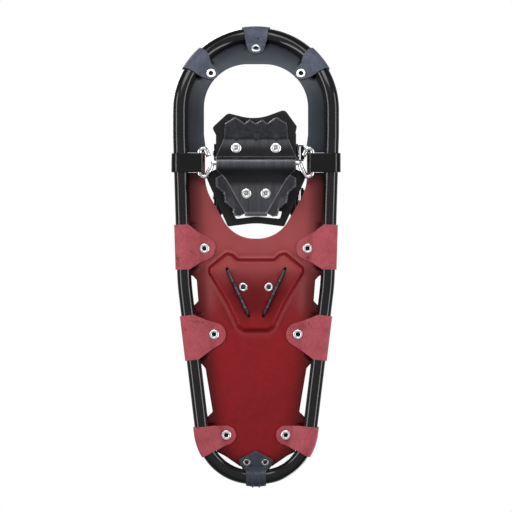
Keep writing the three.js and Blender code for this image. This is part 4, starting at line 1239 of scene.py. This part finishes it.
def binding_base():
    plate = rounded([
        (-54, -158.6, 4), (-34.6, -176.6, 6), (0, -168, 60), (35.3, -181, 6), (50.4, -160.3, 4),
        (47.5, -146, 4), (47.5, -100, 0), (40.5, -94, 6), (25.4, -69.2, 2), (-25.4, -69.2, 2),
        (-40.5, -94, 6), (-47.5, -100, 0), (-47.5, -146, 4),
    ])
    sole = rounded([
        (-45, -154, 6), (45, -154, 6), (47.5, -120, 6), (48, -108, 3), (60, -103, 4), (60.4, -95.6, 4),
        (50.1, -71.5, 8), (34.6, -36.9, 3), (0, -41.5, 90), (-34.6, -36.9, 3), (-50.1, -71.5, 8),
        (-60.4, -95.6, 4), (-60, -103, 4), (-48, -108, 3), (-47.5, -120, 6),
    ])
    window = rounded([
        (-34, -67.5, 3), (-24.5, -46.5, 2.5), (0, -49.5, 60), (29.5, -46.5, 2.5), (36.5, -73, 3),
        (24, -69, 3),
    ])
    tread = rectangle(24, -117, -90, 4)
    ridge = rectangle(46, AXLE_Y - 2.6, AXLE_Y + 2.6)
    thick = {"edge": 0.9, "segments": 3}
    parts = [
        flat_plate("base_plate", plate, BASE_LOW, BASE_MID + 0.3, [PLASTIC], **thick),
        flat_plate("base_sole", sole, BASE_MID, SOLE_TOP, [PLASTIC], holes=[window], **thick),
        flat_plate("base_tread", tread, SOLE_TOP - 1, SOLE_TOP + 3, [PLASTIC], **thick),
        flat_plate("base_ridge", ridge, 24.9, BASE_LOW + 1, [PLASTIC], edge=0.6),
    ]
    piece(joined("binding_base_moulding", parts), "binding", "binding_base")


# ---------------------------------------------------------------- wings and straps
WING = 2.2
WING_X = 48.4
STRAP_T = 2.0
STRAP_X = WING_X + WING / 2 + 0.3 + STRAP_T / 2
STRAPS = {"toe": (-128, 11, 96), "instep": (-74, 12, 112)}
STRAP_RIVET_Z = 54
WING_RIVET_X = 36
WING_RIVET_ROWS = {"front": -140, "rear": -84}
SWING_Y, SWING_Z = -47.0, 50.0


def wing(name, side):
    z = SOLE_TOP + 0.3 + WING / 2
    line = Line(rounded([(27, z), (WING_X, z, 6), (WING_X, 70, 20), (WING_X - 2.5, 84)],
                        closed=False, chord=0.6))
    past_bend = np.argmax(line.at[:, 1] > 45)
    turn = line.far[past_bend] - line.at[past_bend, 1]
    outline = rounded([
        (-152, 0), (-152, turn + 44, 6), (-142, turn + 68, 8), (-114, turn + 74, 10),
        (-100, turn + 52, 12), (-86, turn + 64, 10), (-66, turn + 76, 10), (-36, turn + 60, 9),
        (-36, turn + 42, 6), (-54, 14, 4), (-56, 0),
    ])

    def place(y, t):
        p = line.point(t)
        return Vector((side * p.x, y, p.y))

    made = bent_sheet(f"wing_{name}_moulding", outline, place, WING, [PLASTIC], spacing=4, step=2,
                      edge=0.7, segments=3)
    piece(made, "binding", f"wing_{name}")


def over_strap(name, y, half, top):
    right = [
        (STRAP_X, 44), (STRAP_X, 76), (STRAP_X - 2.5, top - 19), (STRAP_X - 8, top - 12),
        (STRAP_X - 17, top - 6), (STRAP_X - 31, top - 1.5), (10, top),
    ]
    corners = right + [(-x, z) for x, z in reversed(right)]
    line = resample(rounded([(x, z, 5) for x, z in corners], closed=False), 2, closed=False)
    path = [Vector((p.x, y, p.y)) for p in smoothed(line, 16)]
    made = ribbon(f"{name}_strap_web", path, Y, 2 * half, STRAP_T, [STRAP], corner=0.5)
    piece(made, "binding", f"{name}_strap")


CLIMB = math.radians(8)
BACK = Vector((0, math.cos(CLIMB), math.sin(CLIMB)))
RISE = Vector((0, -math.sin(CLIMB), math.cos(CLIMB)))
SWING = Vector((0, SWING_Y, SWING_Z))


def heel_strap():
    x = STRAP_X + 0.2
    bend = [(p.x, 132 + (p.y - 132) * 0.95) for p in arc(0, 132, x, 90, 0, 30)]
    right = bend + [(x, 60), (x, -9)]
    line = resample([Vector((-a, b)) for a, b in reversed(right[1:])] + [Vector(p) for p in right], 3,
                    closed=False)
    path = [SWING + X * p.x + BACK * p.y for p in line]
    made = ribbon("heel_strap_web", path, RISE, 18, STRAP_T, [STRAP], corner=0.5)
    piece(made, "heel_strap", "heel_strap")


# ---------------------------------------------------------------- buckles
PIN_U, PIN_W = 4.0, 5.0


def buckle(name, half, seat):
    """A plate with two ears, and the pin that the cam lever turns on."""
    along, across, out, at = seat
    parts = [
        upright(f"{name}_plate", rectangle(11, -half, half, 3), (along, across, out), at, 0, 1.6,
                [BUCKLE], edge=0.5),
    ]
    for side in (-1, 1):
        low, high = sorted((side * half, side * (half - 1.8)))
        ear = rounded([(-2, 0.8), (9, 0.8), (7.2, 5, 3), (4, 8.4, 3.5), (0.8, 5, 3)], chord=0.5)
        parts.append(upright(f"{name}_ear_{side}", ear, (along, out, out.cross(along)), at,
                             low, high, [BUCKLE], spacing=2, step=1))
    ends = [at + along * PIN_U + out * PIN_W + across * v for v in (-half + 0.3, half - 0.3)]
    parts.append(tube(f"{name}_pin", ends, 1.3, [WIRE], sides=16))
    return joined(name, parts)


def lever(name, half, seat):
    along, across, out, at = seat
    wide = half - 2.2
    shape = rounded([
        (-14, 4.6, 1), (-9, 4.3, 10), (2, 4.0, 3), (5, 2.1, 2.6), (7.1, 5, 2.6), (4.5, 7.9, 2.8),
        (-6, 6.6, 8), (-12.5, 7.8, 1), (-14.2, 7.4, 0.8),
    ], chord=0.6)
    return upright(name, shape, (along, out, out.cross(along)), at, -wide, wide, [BUCKLE], edge=0.4,
                   spacing=2.5, step=1)


def buckles():
    """Each strap's buckle and lever, on a seat that says along, across, outward and where."""
    raised = STRAP_T / 2 + 0.3
    seats = {
        name: ("binding", half - 1, (Z, Y, X, Vector((STRAP_X + raised, y, 70))))
        for name, (y, half, _) in STRAPS.items()
    }
    at = SWING + BACK * 84
    at.x = STRAP_X + 0.2 + raised
    seats["heel"] = ("heel_strap", 9, (BACK, RISE, X, at))
    for name, (body, half, seat) in seats.items():
        piece(buckle(f"{name}_buckle_body", half, seat), body, f"{name}_buckle")
        piece(lever(f"{name}_lever_cam", half, seat), f"{name}_lever", f"{name}_lever")


# ---------------------------------------------------------------- building
frame_tube()
ferrule_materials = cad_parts["tail_ferrule"].data.materials
ferrule_materials.clear()
ferrule_materials.append(WIRE)
nose_deck()
main_deck()
for deck, tabs in (("nose", NOSE_TABS), ("deck", MAIN_TABS)):
    for tab in tabs:
        place = beside(tab["at"], tab["rivet_in"], UNDER - SHEET / 2, tab["shift"])
        rivet(f"{deck}_rivet_{tab['name']}", place, up_at(place.y), DECK_GRIP, "frame")
heel_crampon()
heel_pad()
tail_clip()
for name, side in SIDES:
    place = Vector((side * HEEL_RIVET_X, HEEL_RIVET_Y, FLOOR))
    rivet(f"heel_rivet_{name}", place, Z, HEEL_GRIP, "frame", rim=5.5)
    place = beside(station(1, half_frame.length), TAIL_RIVET_IN, CLIP_UNDER) + X * TAIL_RIVET_X * side
    rivet(f"tail_rivet_{name}", place, up_at(place.y), 2 * CLIP_T + 0.6 + SHEET, "frame",
          head=4, rim=4.6, bore=2.2, metal=DULL_RIVET)
    band(name, side)
    wing(name, side)
    for row, y in WING_RIVET_ROWS.items():
        rivet(f"wing_rivet_{row}_{name}", Vector((WING_RIVET_X * side, y, BASE_MID)), Z,
              SOLE_TOP + 0.3 + WING - BASE_MID, "binding", rim=5, bore=2.2)
    wing_in = side * (WING_X - WING / 2)
    for strap, (y, _, _) in STRAPS.items():
        rivet(f"strap_rivet_{strap}_{name}", Vector((wing_in, y, STRAP_RIVET_Z)), X * side,
              WING + 0.3 + STRAP_T, "binding", rim=4.5, head=4.5, bore=2)
    rivet(f"swing_rivet_{name}", Vector((wing_in, SWING_Y, SWING_Z)), X * side,
          WING + 0.7 + STRAP_T, "binding", rim=4.5, head=5.5, bore=2)
axle()
toe_crampon()
for name, (x, y) in CRAMPON_RIVETS.items():
    pan_rivet(f"crampon_rivet_{name}", Vector((x, y, PLATE_Z)), Z, STEEL + 0.3 + 4, "binding")
binding_base()
for name, (y, half, top) in STRAPS.items():
    over_strap(name, y, half, top)
heel_strap()
buckles()


# ---------------------------------------------------------------- floor, light and camera
FLOOR_HALF = 3000
FLOOR_Z = -0.2
LIGHTS = {
    "under_left": ((-1.45, 0.0, -0.70), (1.7, 0.45), 16),
    "under_right": ((1.45, 0.0, -0.62), (1.7, 0.45), 14.5),
    "under_toe": ((-0.15, -1.40, -1.38), (1.3, 0.9), 18),
    "above": ((-0.6, -0.9, 1.6), (1.2, 1.2), 26),
    "above_back": ((1.0, 1.2, 1.2), (1.0, 1.0), 16),
}
LENS = 500
SENSOR = 36
SEEN_WIDTH = 0.6298
AIM_Y, AIM_Z = -0.0007, 0.024


def pale_floor():
    """A floor that shows from above only, so that the snowshoe can be seen from below."""
    look = Look("floor_paint", Roughness=0.7, Base_Color=(0.82, 0.82, 0.82, 1))
    behind = look.add("NewGeometry", {}).outputs["Backfacing"]
    clear = look.add("BsdfTransparent", {}).outputs["BSDF"]
    pick = look.add("MixShader", {0: behind, 1: look.bsdf.outputs["BSDF"], 2: clear})
    feed(look.tree, look.tree.nodes["Material Output"], {"Surface": pick.outputs[0]})
    corners = [Vector((*p, FLOOR_Z)) for p in rectangle(FLOOR_HALF, -FLOOR_HALF, FLOOR_HALF)]
    floor = new_object("floor", corners, [(0, 1, 2, 3)], [look.material], smooth=False)
    floor.visible_shadow = False
    floor.visible_diffuse = False
    floor.visible_glossy = False
    floor.visible_transmission = False


def area_light(name, place, size, power):
    """A rectangular light that faces the snowshoe's middle."""
    data = bpy.data.lights.new(name, "AREA")
    data.shape = "RECTANGLE"
    data.size, data.size_y = size
    data.energy = power
    light = linked(name, data)
    light.location = place
    light.rotation_euler = (-Vector(place)).to_track_quat("-Z", "Y").to_euler()


def studio_world():
    """A white backdrop to the eye, which lights the snowshoe only a little."""
    world = bpy.data.worlds.new("studio")
    world.use_nodes = True
    tree = world.node_tree
    rays = add_node(tree, "LightPath", {}).outputs
    where = add_node(tree, "TexCoord", {}).outputs["Generated"]
    height = maths_on(tree, "ABSOLUTE", add_node(tree, "SeparateXYZ", {0: where}).outputs["Z"])
    steep = maths_on(tree, "MULTIPLY_ADD", height, 0.45, -0.15)
    reflected = maths_on(tree, "MULTIPLY", rays["Is Glossy Ray"], steep)
    direct = maths_on(tree, "MULTIPLY_ADD", rays["Is Camera Ray"], 0.75, 0.25)
    strength = maths_on(tree, "ADD", direct, reflected)
    feed(tree, tree.nodes["Background"], {"Strength": strength, "Color": (1, 1, 1, 1)})
    bpy.context.scene.world = world


def light_and_camera():
    studio_world()
    bpy.context.scene.view_settings.view_transform = "Standard"
    for name, (place, size, power) in LIGHTS.items():
        area_light(name, place, size, power)
    data = bpy.data.cameras.new("camera")
    data.lens = LENS
    data.sensor_width = SENSOR
    camera = linked("camera", data)
    away = SEEN_WIDTH * LENS / SENSOR
    camera.matrix_world = Matrix((
        (1, 0, 0, 0), (0, -1, 0, AIM_Y), (0, 0, -1, AIM_Z - away), (0, 0, 0, 1),
    ))
    bpy.context.scene.camera = camera


pale_floor()
light_and_camera()
